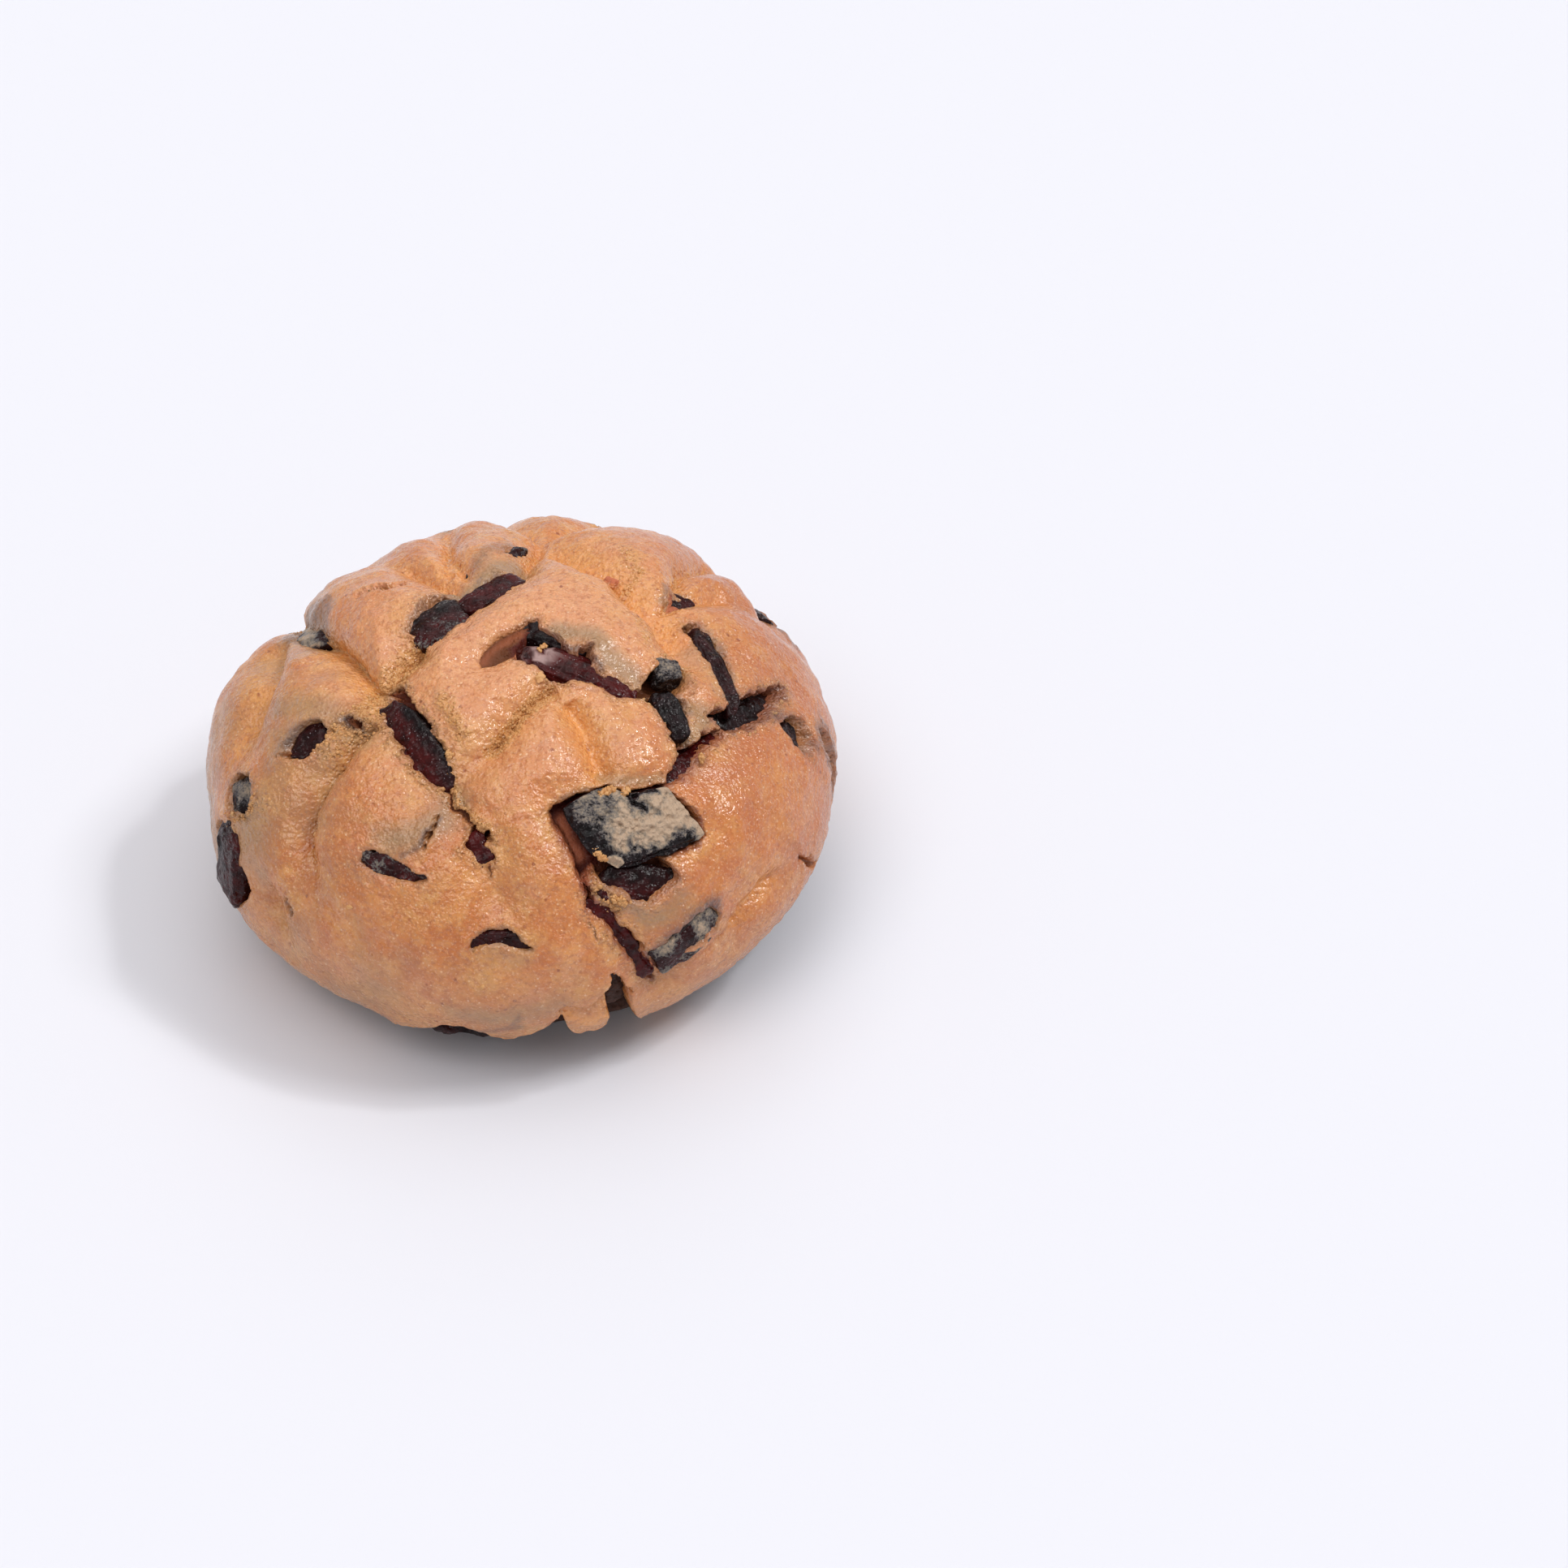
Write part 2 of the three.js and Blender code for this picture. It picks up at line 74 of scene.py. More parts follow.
# openings torn in the crust: depth, red juice, crumbs on the lip, dark fringe, outline of (azimuth, latitude)
HOLES = {
    "crown": (5.2, 0.55, 0.5, 0.5, [(-92.4, 60.8), (-107.0, 63.4), (-120.0, 63.4), (-125.4, 65.4), (-129.5, 69.4), (-136.7, 70.1), (-149.3, 71.6), (-160.2, 69.0), (-168.4, 67.2), (-177.5, 67.0), (175.2, 67.9), (176.1, 70.2), (-173.9, 70.9), (-160.3, 73.2), (-142.8, 75.7), (-125.8, 75.5), (-107.8, 75.0), (-94.5, 73.0), (-82.0, 70.5), (-77.1, 66.7), (-80.0, 64.6), (-88.3, 63.3)]),
    "left": (5.3, 0.8, 0.9, 0.25, [(-65.0, 48.7), (-64.8, 51.2), (-59.7, 53.7), (-54.0, 53.2), (-47.9, 51.8), (-40.6, 51.3), (-35.3, 49.4), (-30.9, 46.5), (-26.5, 44.3), (-24.2, 41.4), (-23.5, 39.4), (-23.6, 37.5), (-26.5, 37.6), (-29.9, 38.9), (-33.8, 40.1), (-37.7, 41.8), (-41.8, 42.9), (-45.4, 43.7), (-50.6, 45.1), (-53.8, 45.8), (-55.3, 47.6), (-56.2, 49.2), (-60.9, 49.9)]),
    "hole": (5.2, 0.9, 0.7, 0.2, [(-13.6, 30.2), (-11.6, 29.0), (-9.8, 29.6), (-9.3, 28.3), (-10.6, 26.8), (-9.1, 25.4), (-8.7, 24.3), (-10.4, 24.5), (-12.6, 25.5), (-14.3, 26.4), (-13.9, 28.2)]),
    "leaf": (2.1, 0.25, 0.1, 0.0, [(-34.7, 70.9), (-37.7, 74.5), (-36.5, 78.9), (-22.5, 83.0), (19.0, 85.4), (64.2, 84.9), (50.3, 82.8), (21.3, 81.1), (4.1, 77.6), (-2.0, 74.4), (-8.5, 73.3), (-17.6, 71.1), (-28.6, 68.8)]),
    "centre": (5.2, 0.9, 0.6, 0.45, [(-3.7, 77.8), (14.7, 81.5), (49.2, 84.0), (64.0, 83.3), (47.9, 81.2), (49.3, 77.9), (47.9, 74.2), (44.3, 71.1), (44.0, 68.6), (45.6, 66.9), (50.9, 68.0), (55.7, 66.8), (50.4, 64.7), (45.4, 63.5), (44.7, 60.1), (46.5, 57.1), (46.9, 53.9), (48.4, 51.5), (48.1, 50.4), (42.9, 51.8), (40.8, 53.7), (40.9, 56.4), (39.5, 58.7), (36.0, 61.3), (30.7, 62.2), (24.1, 63.7), (18.2, 65.8), (16.1, 68.8), (10.8, 71.2), (4.4, 73.0), (-2.0, 74.1)]),
    "pit": (5.2, 0.2, 0.6, 0.3, [(51.4, 49.6), (58.2, 50.5), (65.2, 50.5), (70.9, 49.5), (74.0, 46.6), (73.0, 43.9), (67.9, 42.7), (63.2, 42.6), (60.0, 43.0), (57.1, 44.7), (55.2, 46.8), (51.3, 48.2)]),
    "pit_low": (5.2, 0.3, 0.7, 0.6, [(52.1, 48.3), (54.4, 46.7), (56.9, 44.9), (59.3, 42.4), (56.5, 39.9), (51.0, 37.3), (49.8, 35.6), (48.0, 34.5), (45.5, 33.8), (44.1, 35.1), (46.1, 37.6), (47.4, 40.2), (48.3, 42.6), (49.8, 45.5)]),
    "right_red": (5.3, 1.0, 0.6, 0.3, [(35.2, 31.3), (36.7, 32.4), (39.6, 32.9), (42.6, 33.9), (46.7, 34.0), (51.8, 33.7), (56.8, 32.8), (60.6, 31.4), (57.5, 31.2), (54.6, 30.9), (51.7, 31.9), (47.8, 32.0), (45.2, 31.2), (42.5, 31.0), (39.8, 30.8), (37.0, 30.9)]),
    "right_dark": (5.3, 0.9, 0.7, 0.6, [(60.0, 35.5), (61.7, 35.3), (64.5, 34.0), (67.9, 33.0), (70.1, 31.9), (72.4, 30.8), (75.9, 29.2), (80.0, 26.5), (83.7, 23.9), (84.9, 21.7), (81.7, 21.7), (77.5, 23.3), (73.6, 24.4), (69.2, 25.9), (65.2, 27.5), (62.2, 29.4), (61.0, 31.4), (60.1, 33.5)]),
    "right_long": (5.0, 0.3, 0.3, 0.6, [(96.0, 43.7), (96.9, 41.4), (93.7, 40.1), (91.4, 38.0), (87.6, 36.3), (82.4, 34.9), (77.4, 33.5), (72.8, 31.8), (69.6, 30.8), (67.4, 32.1), (69.0, 34.3), (74.2, 36.7), (80.3, 38.8), (85.4, 41.1), (90.4, 42.4), (93.1, 43.9)]),
    "diamond": (5.3, 0.9, 0.4, 0.3, [(5.3, 32.9), (6.9, 34.1), (9.7, 34.7), (12.9, 35.3), (16.0, 35.2), (19.3, 35.6), (22.3, 35.4), (24.8, 33.3), (27.9, 32.7), (31.7, 32.0), (35.0, 31.4), (35.4, 28.8), (36.5, 26.7), (37.5, 24.8), (37.5, 22.5), (36.7, 20.3), (34.6, 19.6), (31.5, 19.8), (28.2, 20.3), (25.1, 19.8), (21.4, 20.1), (17.6, 20.8), (14.7, 20.9), (12.6, 20.4), (11.1, 19.9), (10.0, 18.6), (9.5, 20.7), (9.2, 22.1), (9.5, 23.6), (8.8, 25.3), (7.8, 27.7), (6.5, 30.0)]),
    "purple": (5.3, 0.6, 0.5, 0.4, [(12.6, 20.4), (14.1, 21.6), (16.1, 21.7), (18.3, 20.8), (20.7, 20.4), (23.9, 20.5), (27.3, 19.9), (28.0, 18.3), (28.1, 16.2), (27.2, 15.7), (24.7, 15.4), (23.2, 14.9), (21.0, 14.4), (18.6, 15.4), (17.8, 16.9), (15.7, 18.0), (14.0, 19.0)]),
    "front_red": (5.3, 1.0, 0.6, 0.3, [(10.1, 18.9), (11.2, 17.6), (11.5, 15.3), (13.0, 14.3), (14.4, 12.9), (15.8, 10.9), (17.0, 8.8), (18.2, 6.7), (18.4, 4.6), (19.6, 2.3), (20.3, -0.5), (20.9, -3.0), (19.8, -2.0), (18.3, 0.4), (17.5, 3.0), (16.2, 4.9), (15.3, 6.9), (14.3, 8.9), (13.4, 10.9), (12.5, 12.7), (11.1, 14.0), (10.2, 15.5)]),
    "eye": (4.2, 0.4, 0.3, 0.4, [(-35.8, 19.7), (-35.6, 21.4), (-34.2, 22.2), (-31.4, 22.1), (-28.5, 21.8), (-25.6, 21.3), (-24.0, 20.5), (-21.6, 20.4), (-21.3, 20.0), (-23.7, 19.2), (-27.0, 19.1), (-30.3, 19.1), (-33.3, 19.2)]),
    "low": (4.0, 0.3, 0.3, 0.4, [(-11.7, 9.2), (-11.0, 10.9), (-9.5, 11.9), (-7.3, 12.6), (-5.0, 12.6), (-3.3, 11.9), (-2.8, 11.0), (-0.8, 9.5), (-2.5, 9.7), (-4.6, 10.4), (-6.3, 10.6), (-8.5, 10.7), (-10.1, 10.1)]),
    "west_grey": (3.6, 0.1, 0.6, 0.5, [(-75.0, 14.9), (-74.5, 17.0), (-71.8, 18.3), (-70.3, 19.6), (-68.0, 19.8), (-66.0, 18.2), (-65.0, 15.9), (-66.8, 13.8), (-69.7, 12.6), (-72.8, 13.1)]),
    "west_dot": (3.2, 0.6, 0.5, 0.9, [(-62.4, 40.0), (-61.7, 41.4), (-58.0, 42.0), (-56.7, 40.4), (-59.6, 39.7)]),
    "east_slit": (3.0, 0.2, 0.4, 0.6, [(73.4, 20.9), (77.2, 19.9), (79.7, 17.0), (77.9, 14.8), (73.1, 14.2), (71.8, 16.0), (72.3, 18.4)]),
    "west": (3.0, 0.3, 0.3, 0.5, [(-66.9, 27.7), (-68.0, 28.9), (-68.8, 30.5), (-69.4, 32.3), (-68.8, 34.6), (-66.2, 36.4), (-64.1, 36.3), (-62.8, 34.4), (-62.8, 32.3), (-62.5, 30.4), (-63.4, 28.6)]),
    "skin": (1.0, 0.1, 0.2, 0.6, [(19.5, 1.5), (20.1, 3.8), (22.1, 5.8), (24.9, 7.6), (27.7, 8.6), (30.6, 9.2), (32.9, 8.7), (33.9, 6.8), (32.8, 5.1), (30.0, 4.5), (26.9, 3.8), (24.0, 2.5), (21.3, 0.7)]),
    "west_rim": (3.6, 0.4, 0.2, 0.3, [(-72.5, 7.7), (-70.2, 9.2), (-67.0, 9.3), (-64.5, 8.5), (-62.8, 6.3), (-60.8, 5.1), (-59.1, 2.9), (-59.2, 0.6), (-61.9, -2.6), (-67.4, -7.1), (-69.3, -6.4), (-69.4, -2.0), (-70.0, 2.1), (-71.6, 4.4)]),
}
# creases between the puffed tiles: half width, depth, power of the profile, crumb, orange, rise of the left side, path
CREASES = [
    (1.7, 2.1, 1.1, 0.15, 0.6, 0.8, [(-116.0, 23.3), (-106.2, 34.4), (-99.4, 40.7), (-87.8, 45.1), (-75.7, 47.3), (-65.3, 48.2), (-59.2, 48.3)]),
    (2.2, 1.9, 1.3, 1.0, 0, 0, [(-80.0, 64.6), (-76.1, 60.0), (-72.5, 55.9), (-67.6, 51.4), (-65.3, 48.2)]),
    (2.4, 1.4, 1.6, 0, 1.0, 0.2, [(-112.2, 24.1), (-107.5, 23.1), (-94.5, 26.5), (-87.1, 22.9), (-81.3, 19.0)]),
    (0.95, 2.3, 1.0, 0.75, 0, 0.9, [(-52.1, 44.3), (-53.8, 40.1), (-53.6, 37.0), (-52.8, 33.4), (-53.1, 28.6), (-52.2, 24.6), (-50.2, 19.0), (-47.7, 15.5), (-45.2, 13.2)]),
    (1.3, 1.5, 1.2, 0.95, 0.15, 0, [(-13.8, 44.1), (-10.1, 46.6), (-6.2, 50.5), (-0.6, 55.5), (6.2, 58.9), (14.6, 60.8), (22.2, 62.5)]),
    (1.6, 1.3, 1.5, 0.1, 1.0, 0, [(21.9, 57.8), (23.1, 54.1), (22.7, 49.6), (22.0, 44.3), (21.7, 38.9), (21.5, 35.9)]),
    (1.6, 1.7, 1.3, 0.3, 0.6, 0, [(-134.2, 68.2), (-138.8, 62.4), (-140.4, 55.4), (-140.1, 48.9), (-141.5, 40.8)]),
    (1.4, 1.5, 1.3, 0, 0.9, 0, [(-145.1, 58.8), (-154.6, 47.5), (-162.3, 33.8), (-165.7, 25.3)]),
    (1.6, 1.8, 1.2, 0.3, 0.5, 0, [(175.2, 67.9), (171.2, 58.9), (169.9, 49.2), (168.7, 39.8)]),
    (2.2, 1.9, 1.4, 0.1, 1.0, 0, [(167.2, 42.7), (156.0, 51.5), (138.7, 55.3), (127.2, 53.5), (117.2, 52.9), (105.6, 52.9), (95.8, 48.8), (86.0, 47.5), (76.2, 44.9)]),
    (1.8, 1.5, 1.3, 0.2, 0.8, 0, [(101.2, 49.6), (105.9, 44.7), (110.1, 38.7), (111.8, 32.6), (112.7, 27.8)]),
    (1.1, 1.0, 1.3, 0, 0.9, 0, [(36.3, 1.0), (40.4, 3.5), (44.9, 4.3), (49.9, 4.6)]),
    (0.9, 1.0, 1.2, 0.1, 0, 0.3, [(-53.7, 5.8), (-51.6, 1.8), (-49.8, -0.8)]),
    (0.45, 0.6, 1.0, 0, 0, 0.45, [(20.9, -1.4), (24.8, 0.2), (29.7, 1.0), (35.4, 1.7)]),
    (1.0, 1.1, 1.1, 0.9, 0, 0, [(-58.4, 40.4), (-62.3, 35.9), (-63.8, 31.9)]),
    (1.6, 1.2, 1.5, 0.1, 0.6, 0, [(34.6, 20.7), (29.0, 21.1), (23.4, 20.9)]),
    (0.6, 1.0, 1.0, 0.2, 0.2, 0.55, [(2.8, -5.9), (4.8, -3.9), (6.9, -4.7), (9.0, -4.0), (10.4, -2.8), (11.5, -0.9)]),
    (1.5, 1.6, 1.2, 0.6, 0.3, 0.3, [(-100, 40), (-122.6, 17.4), (-136, 2)]),
    (1.5, 1.6, 1.2, 0.4, 0.6, 0.0, [(146, 3), (154, 22), (168.7, 39.8)]),
    (1.5, 1.5, 1.3, 0.2, 0.9, 0.2, [(-166, 2), (-176, 20), (168.7, 39.8)]),
    (1.4, 1.3, 1.2, 0.4, 0.5, 0.3, [(112, 42), (124, 36), (131, 20), (122, 2)]),
    (1.3, 1.5, 1.1, 0.8, 0.2, 0.0, [(-176, 16), (-158, 14), (-143, 15), (-126, 14)]),
    (1.3, 1.4, 1.2, 0.7, 0.3, 0.3, [(110, 18), (131, 12), (154, 14), (-176, 14)]),
    (1.0, 1.1, 1.2, 0.3, 0.5, 0.2, [(-105, 2), (-116, 12), (-122, 20)]),
    (1.2, 1.2, 1.2, 0.2, 0.8, 0.0, [(-163.3, 24.9), (-155.8, 48.8), (-151.4, 66)]),
]
# fine cracks: half width, depth, red juice, path
FINE = [
    (0.6, 3.4, 0.4, [(-22.8, 37.1), (-20.8, 35.3), (-19.4, 33.1), (-16.9, 32.1), (-15.0, 31.3), (-13.6, 30.2)]),
    (0.4, 2.0, 0.2, [(-9.0, 24.3), (-8.3, 22.6), (-7.9, 21.0)]),
    (0.8, 3.2, 0.5, [(48.1, 50.4), (50.6, 49.5), (52.1, 48.6)]),
    (0.45, 2.2, 0.1, [(-22.5, 30.6), (-22.8, 28.2), (-23.5, 25.6)]),
    (0.6, 2.6, 0.3, [(-67.0, 27.5), (-63.0, 28.9), (-62.4, 31.7), (-62.8, 35.1)]),
    (0.4, 1.6, 0.1, [(-116.9, 45.0), (-121.1, 47.2), (-123.6, 50.5), (-127.1, 54.1)]),
    (0.5, 1.8, 0.4, [(115.2, 42.7), (107.3, 44.3)]),
    (0.35, 1.6, 0.2, [(-176.1, 56.5), (-179.7, 53.3), (176.6, 51.0)]),
    (0.5, 1.6, 0.2, [(-48.9, 6.3), (-47, 3.9)]),
    (1.0, 2.6, 0.5, [(105.8, 45.2), (109.9, 40.9)]),
    (0.35, 1.3, 0.1, [(-116.3, 45.5), (-125.8, 54.7)]),
    (0.9, 2.0, 0.0, [(130.1, 55.5), (126.8, 52.9)]),
    (0.3, 1.2, 0.1, [(10, 13), (11.4, 8.7)]),
    (1.7, 4.8, 1.0, [(141, 17), (136, 12), (131, 6)]),
    (1.6, 4.8, 1.0, [(-148, 15), (-158, 12), (-168, 9)]),
    (1.5, 4.4, 0.8, [(150, 4), (156, 12), (161, 19)]),
    (1.2, 2.8, 0.3, [(-128, 7), (-120, 9)]),
    (0.4, 1.8, 0.1, [(-172, 15), (-176, 10), (-172, 4)]),
    (0.4, 1.8, 0.1, [(131, 18), (124, 10)]),
]
# paint strokes on the crust: kind, half width, strength, path
STROKES = [
    ("ink", 2.3, 0.8, [(19.6, 2.6), (21.6, 5.0), (24.5, 7.1), (27.7, 8.3), (30.8, 8.8), (32.9, 8.7)]),
    ("ink", 1.8, 0.8, [(-68.2, 29.4), (-68.3, 31.9), (-66.0, 34.4)]),
    ("ink", 1.8, 0.5, [(-159.7, 60.5), (-169.1, 56.8), (-179.1, 52.6), (178.5, 50.7)]),
    ("ink", 1.9, 0.5, [(-116.3, 24.6), (-118.8, 26.4), (-122.0, 28.1)]),
    ("ink", 1.1, 0.7, [(93.1, 43.1), (89.9, 40.7), (86.1, 38.3), (79.3, 36.0), (72.7, 33.4)]),
    ("ink", 1.3, 0.8, [(52.9, 44.8), (54.1, 41.5), (51.6, 38.6), (48.1, 35.7), (44.7, 33.9)]),
    ("ink", 0.9, 0.8, [(10.8, 83.7), (49.2, 84.0), (42.0, 79.4), (43.7, 74.9), (44.8, 71.0), (49.5, 66.6), (48.3, 60.5)]),
    ("ink", 0.6, 0.6, [(-92.7, 61.4), (-114.1, 63.3), (-128.6, 65.8), (-141.9, 68.3)]),
    ("ink", 1.4, 0.6, [(-73.5, 16.5), (-69.0, 15.3), (-65.4, 15.5)]),
    ("ink", 0.6, 0.7, [(-27.4, 23.2), (-24.5, 25.8), (-23.8, 27.7), (-21.7, 30.4)]),
    ("ink", 0.6, 0.5, [(-10.1, 12.1), (-5.7, 13.2), (-2.2, 11.5)]),
    ("ink", 2.2, 0.6, [(75.2, 23.0), (78.2, 17.7), (76.1, 14.0)]),
    ("ink", 1.1, 0.5, [(-14.1, -9.8), (-9.6, -8.8), (-3.8, -8.4)]),
    ("ink", 0.6, 0.9, [(-48.8, 5.8), (-47.7, 4.7)]),
    ("ink", 0.6, 0.6, [(9.3, 35.5), (13.0, 36.1), (16.7, 35.9)]),
    ("ink", 1.6, 0.5, [(61.7, 33.1), (68.9, 29.1), (77.5, 25.4)]),
    ("ink", 0.8, 0.6, [(-4.9, -7.1), (-3.6, -4.8)]),
    ("ink", 1.2, 0.45, [(-62.2, 40.1), (-58.6, 41.0)]),
    ("olive_stain_and_shade", 3.6, 0.8, [(-31.1, 25.3), (-25.9, 27.3), (-21.3, 31.2), (-19.3, 34.7)]),
    ("olive_stain_and_shade", 2.8, 0.9, [(-135.8, 67.6), (-156.8, 67.5), (-175.6, 63.8), (175.2, 59.8)]),
    ("olive_stain_and_shade", 2.4, 0.9, [(55.1, 75.7), (61.9, 67.5), (53.9, 58.9), (53.9, 52.1)]),
    ("olive_stain_and_shade", 4.0, 0.7, [(-80.2, 30.6), (-73.6, 36.1), (-60.0, 39.1), (-53.8, 40.1)]),
    ("olive_stain_and_shade", 3.0, 0.7, [(-66.2, 14.6), (-60.5, 11.6), (-56.3, 7.6)]),
    ("olive_stain_and_shade", 3.2, 0.4, [(-8.6, 10.4), (-3.0, 8.3)]),
    ("olive_stain_and_shade", 2.6, 0.7, [(12.4, 16.8), (18.0, 14.2), (20.4, 11.3), (27.1, 12.6)]),
    ("olive_stain_and_shade", 3.0, 0.6, [(-14.9, -3.6), (-6.4, -4.9), (3.4, -1.9)]),
    ("olive_stain_and_shade", 1.2, 0.7, [(20.8, 37.4), (29.0, 34.2), (35.0, 32.8)]),
    ("olive_stain_and_shade", 2.0, 0.8, [(53.1, 45.3), (51.5, 49.0), (48.9, 54.7)]),
    ("olive_stain_and_shade", 2.2, 0.8, [(58.6, 39.1), (57.2, 35.5), (44.7, 33.9)]),
    ("olive_stain_and_shade", 3.0, 0.5, [(82.6, 41.3), (69.6, 36.2), (69.9, 30.3)]),
    ("wine", 1.3, 0.8, [(6.5, 31.2), (8.0, 26.2), (9.7, 22.6), (10.6, 18.5), (11.4, 14.5)]),
    ("wine", 0.7, 0.7, [(37.6, 22.4), (36.8, 20.2), (33.9, 19.5), (29.3, 19.9)]),
    ("wine", 0.8, 0.5, [(-52.4, 46.5), (-35.8, 40.8), (-24.5, 36.8)]),
    ("wine", 0.8, 0.5, [(16.8, 66.0), (26.0, 61.7), (39.5, 55.1), (46.9, 49.1)]),
    ("wine", 1.0, 0.5, [(39.8, 29.8), (50.5, 31.0), (58.4, 30.8)]),
    ("wine", 0.7, 0.5, [(12.4, 12.6), (16.3, 3.8), (20.3, -3.1)]),
    ("crumb", 2.4, 0.9, [(-66.2, 47.0), (-59.2, 43.1), (-57.0, 38.5), (-58.2, 33.6)]),
    ("crumb", 1.8, 0.8, [(-34.4, 56.6), (-26.5, 52.9), (-21.3, 49.6)]),
    ("crumb", 1.5, 0.8, [(-21.8, 37.6), (-16.8, 33.4), (-11.4, 30.8)]),
    ("crumb", 1.2, 0.7, [(11.8, 17.6), (13.8, 15.9), (14.9, 14.2)]),
    ("crumb", 1.3, 0.6, [(114.7, 56.0), (124.8, 48.3), (136.4, 46.1)]),
    ("crumb", 2.0, 0.5, [(90.2, 57.0), (75.1, 54.6)]),
    ("crumb", 2.0, 0.6, [(-67.2, 12.1), (-66.2, 14.6), (-61.6, 19.3)]),
    # brown strokes: the first two are darker lines along creases, painted shade; the broad ones are browner bake
    ("brown_bake_and_shade", 1.1, 0.9, [(-52.1, 44.3), (-53.8, 40.1), (-53.6, 37.0), (-52.8, 33.4), (-53.1, 28.6), (-52.2, 24.6), (-50.2, 19.0)]),
    ("brown_bake_and_shade", 0.8, 0.8, [(-15.2, 44.5), (-11.9, 47.5), (-8.1, 49.9), (-4.5, 52.1)]),
    ("brown_bake_and_shade", 4.0, 0.5, [(-44.6, 62.4), (-28.8, 55.9), (-14.0, 55.3)]),
    ("brown_bake_and_shade", 3.0, 0.6, [(-45.2, 33.0), (-36.3, 31.0)]),
    ("brown_bake_and_shade", 4.0, 0.5, [(44.0, 28.6), (43.4, 20.3), (39.2, 14.5)]),
    ("brown_bake_and_shade", 3.5, 0.5, [(127.5, 71.2), (84.1, 67.3)]),
    ("brown_bake_and_shade", 3.0, 0.4, [(-5.7, 15.5), (0.6, 19.6)]),
    ("brown_bake_and_shade", 3.0, 0.5, [(-121.4, 49.0), (-106.2, 47.4)]),
    ("brown_bake_and_shade", 3.0, 0.4, [(70.1, 42.1), (70.7, 38.3)]),
    ("gloss", 3.2, 1.0, [(35.0, 46.5), (38.1, 41.0), (34.4, 34.8)]),
    ("gloss", 2.2, 0.7, [(-10.9, 42.1), (1.3, 45.6)]),
    ("gloss", 2.5, 0.7, [(61.4, 65.2), (61.1, 60.8)]),
    ("gloss", 3.0, 0.6, [(31.7, 15.2), (42.7, 22.3)]),
    ("orange", 1.2, 1.0, [(4.7, -5.8), (7.9, -8.7), (11.0, -7.2)]),
    ("orange", 1.4, 0.5, [(27.6, -13.9), (20.4, -14.6)]),
    ("orange", 0.9, 0.9, [(8.3, 30.6), (9.1, 27.8), (9.9, 25.4), (10.9, 22.7)]),
    ("orange", 1.0, 0.35, [(-30.4, 71.4), (-30.0, 75.6), (-21.2, 79.9), (10.8, 83.7)]),
    ("orange", 0.6, 0.7, [(33.4, 29.2), (35.0, 26.6), (36.3, 24.2)]),
    ("gloss", 2.6, 0.6, [(-7.3, 55.6), (4.9, 51.0)]),
    ("gloss", 2.2, 0.5, [(-52.6, 69.8), (-24.8, 66.1), (-15.7, 59.6)]),
    ("gloss", 3.0, 0.5, [(42.1, 24.3), (42.5, 19.2)]),
]
# outline of the big lozenge of fruit, and its two lower edges, which stay dark
BLOCK = [(8.8, 32.8), (11.5, 33.9), (15.6, 34.8), (18.4, 35.3), (21.9, 34.8), (23.6, 33.5), (25.8, 32.5), (28.2, 31.9), (30.8, 31.2), (33.2, 30.6), (33.3, 28.2), (34.6, 24.6), (35.7, 22.2), (35.9, 20.7), (34.3, 20.4), (29.9, 21.0), (25.6, 21.1), (22.2, 20.8), (20.1, 20.9), (17.7, 21.2), (15.7, 22.8), (12.9, 24.6), (11.2, 27.8), (9.4, 30.6)]
BLOCK_LOWER = [[(8.8, 32.8), (9.4, 30.6), (11.2, 27.8), (12.9, 24.6), (15.7, 22.8), (17.7, 21.2), (20.1, 20.9)], [(21.7, 20.9), (25.6, 21.1), (29.9, 21.0), (32.6, 20.7)]]
NOTCH = [(12.9, 3.1), (13.0, 1.2), (13.2, 0.1), (13.5, -2.2), (13.9, -6.1), (14.5, -11.0)]
NICK = [(55.6, 3.8), (57.8, 0.7), (60.9, -2.6)]
